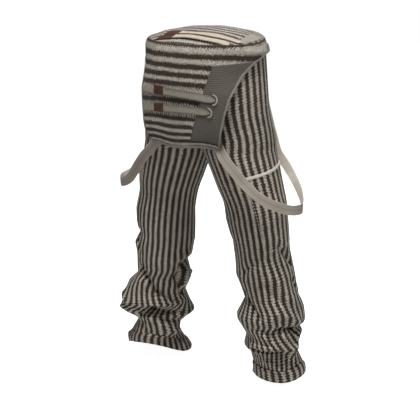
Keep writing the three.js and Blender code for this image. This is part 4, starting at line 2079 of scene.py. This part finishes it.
# ---- Studio ----------------------------------------------------------------------------------------
@dataclass
class Studio:
    """Pale floor, soft light and the camera."""

    azimuth: float = 35.0
    elevation: float = 15.4
    distance: float = 3.151
    lens: float = 93.2
    target: tuple[float, float, float] = (0.0, 0.0194, 0.50)

    def camera(self) -> None:
        """Stands the camera in front of the wearer's left."""
        data = bpy.data.cameras.new("camera")
        data.lens = self.lens
        data.sensor_width = 36.0
        camera = bpy.data.objects.new("camera", data)
        bpy.context.scene.collection.objects.link(camera)
        a, e = math.radians(self.azimuth), math.radians(self.elevation)
        away = Vector((math.sin(a) * math.cos(e), -math.cos(a) * math.cos(e), math.sin(e)))
        camera.location = Vector(self.target) + away * self.distance
        camera.rotation_euler = away.to_track_quat("Z", "Y").to_euler()
        bpy.context.scene.camera = camera

    def area(self, name: str, place: tuple[float, float, float], size: float, power: float) -> None:
        """Hangs a square soft light that looks at the overalls.

        Args:
            name: The light's name.
            place: Where it hangs.
            size: Its width.
            power: Its power in watts.
        """
        data = bpy.data.lights.new(name, "AREA")
        data.shape = "SQUARE"
        data.size = size
        data.energy = power
        light = bpy.data.objects.new(name, data)
        bpy.context.scene.collection.objects.link(light)
        light.location = place
        light.rotation_euler = (Vector(place) - Vector((0, 0, 0.5))).to_track_quat("Z", "Y").to_euler()

    def floor(self) -> None:
        """Lays a pale, faintly mottled floor."""
        half = 8.0
        corners = np.array([(-half, -half, 0), (half, -half, 0), (half, half, 0), (-half, half, 0)])
        ground = make_object("floor", corners - (0, 0, 0.0006), [(0, 1, 2, 3)])
        g = Graph("pale_floor", roughness=0.9)
        colour = g.shade((0.93, 0.93, 0.93), g.ramp(g.noise(3), 0.2, 0.8, 0.99, 1.01))
        ground.data.materials.append(g.dress(colour, g.noise(40), 0.0002))
        seen = g.nodes.new("ShaderNodeLightPath").outputs["Is Camera Ray"]
        g.links.new(g.math("MULTIPLY", seen, 0.95), g.shader.inputs["Emission Strength"])
        g.shader.inputs["Emission Color"].default_value = (1, 1, 1, 1)

    def world(self) -> None:
        """A white backdrop that lights the scene only weakly."""
        world = bpy.data.worlds.new("studio")
        world.use_nodes = True
        nodes, links = world.node_tree.nodes, world.node_tree.links
        back = nodes["Background"]
        back.inputs["Color"].default_value = (1, 1, 1, 1)
        back.inputs["Strength"].default_value = 1.0
        fill = nodes.new("ShaderNodeBackground")
        fill.inputs["Color"].default_value = (1, 0.99, 0.97, 1)
        fill.inputs["Strength"].default_value = 0.16
        path = nodes.new("ShaderNodeLightPath")
        choose = nodes.new("ShaderNodeMixShader")
        links.new(path.outputs["Is Camera Ray"], choose.inputs[0])
        links.new(fill.outputs[0], choose.inputs[1])
        links.new(back.outputs[0], choose.inputs[2])
        links.new(choose.outputs[0], nodes["World Output"].inputs["Surface"])
        bpy.context.scene.world = world

    def build(self) -> None:
        """Sets up the whole studio."""
        self.camera()
        self.world()
        self.floor()
        self.area("overhead", (0.35, -0.75, 3.2), 0.7, 92)
        self.area("side", (2.6, 0.2, 2.2), 0.9, 17)
        self.area("rear", (-0.9, 2.7, 1.6), 1.6, 16)
        bpy.context.scene.view_settings.view_transform = "Standard"


def main() -> None:
    """Builds the studio and every sub-assembly in order."""
    logging.basicConfig(level=logging.INFO, format="%(name)s: %(message)s")
    Studio().build()
    wardrobe = Wardrobe()
    Trousers(wardrobe).build()
    ThighPockets(wardrobe).build()
    Bib(wardrobe).build()
    Yoke(wardrobe).build()
    Straps(wardrobe).build()


if __name__ == "__main__":
    main()
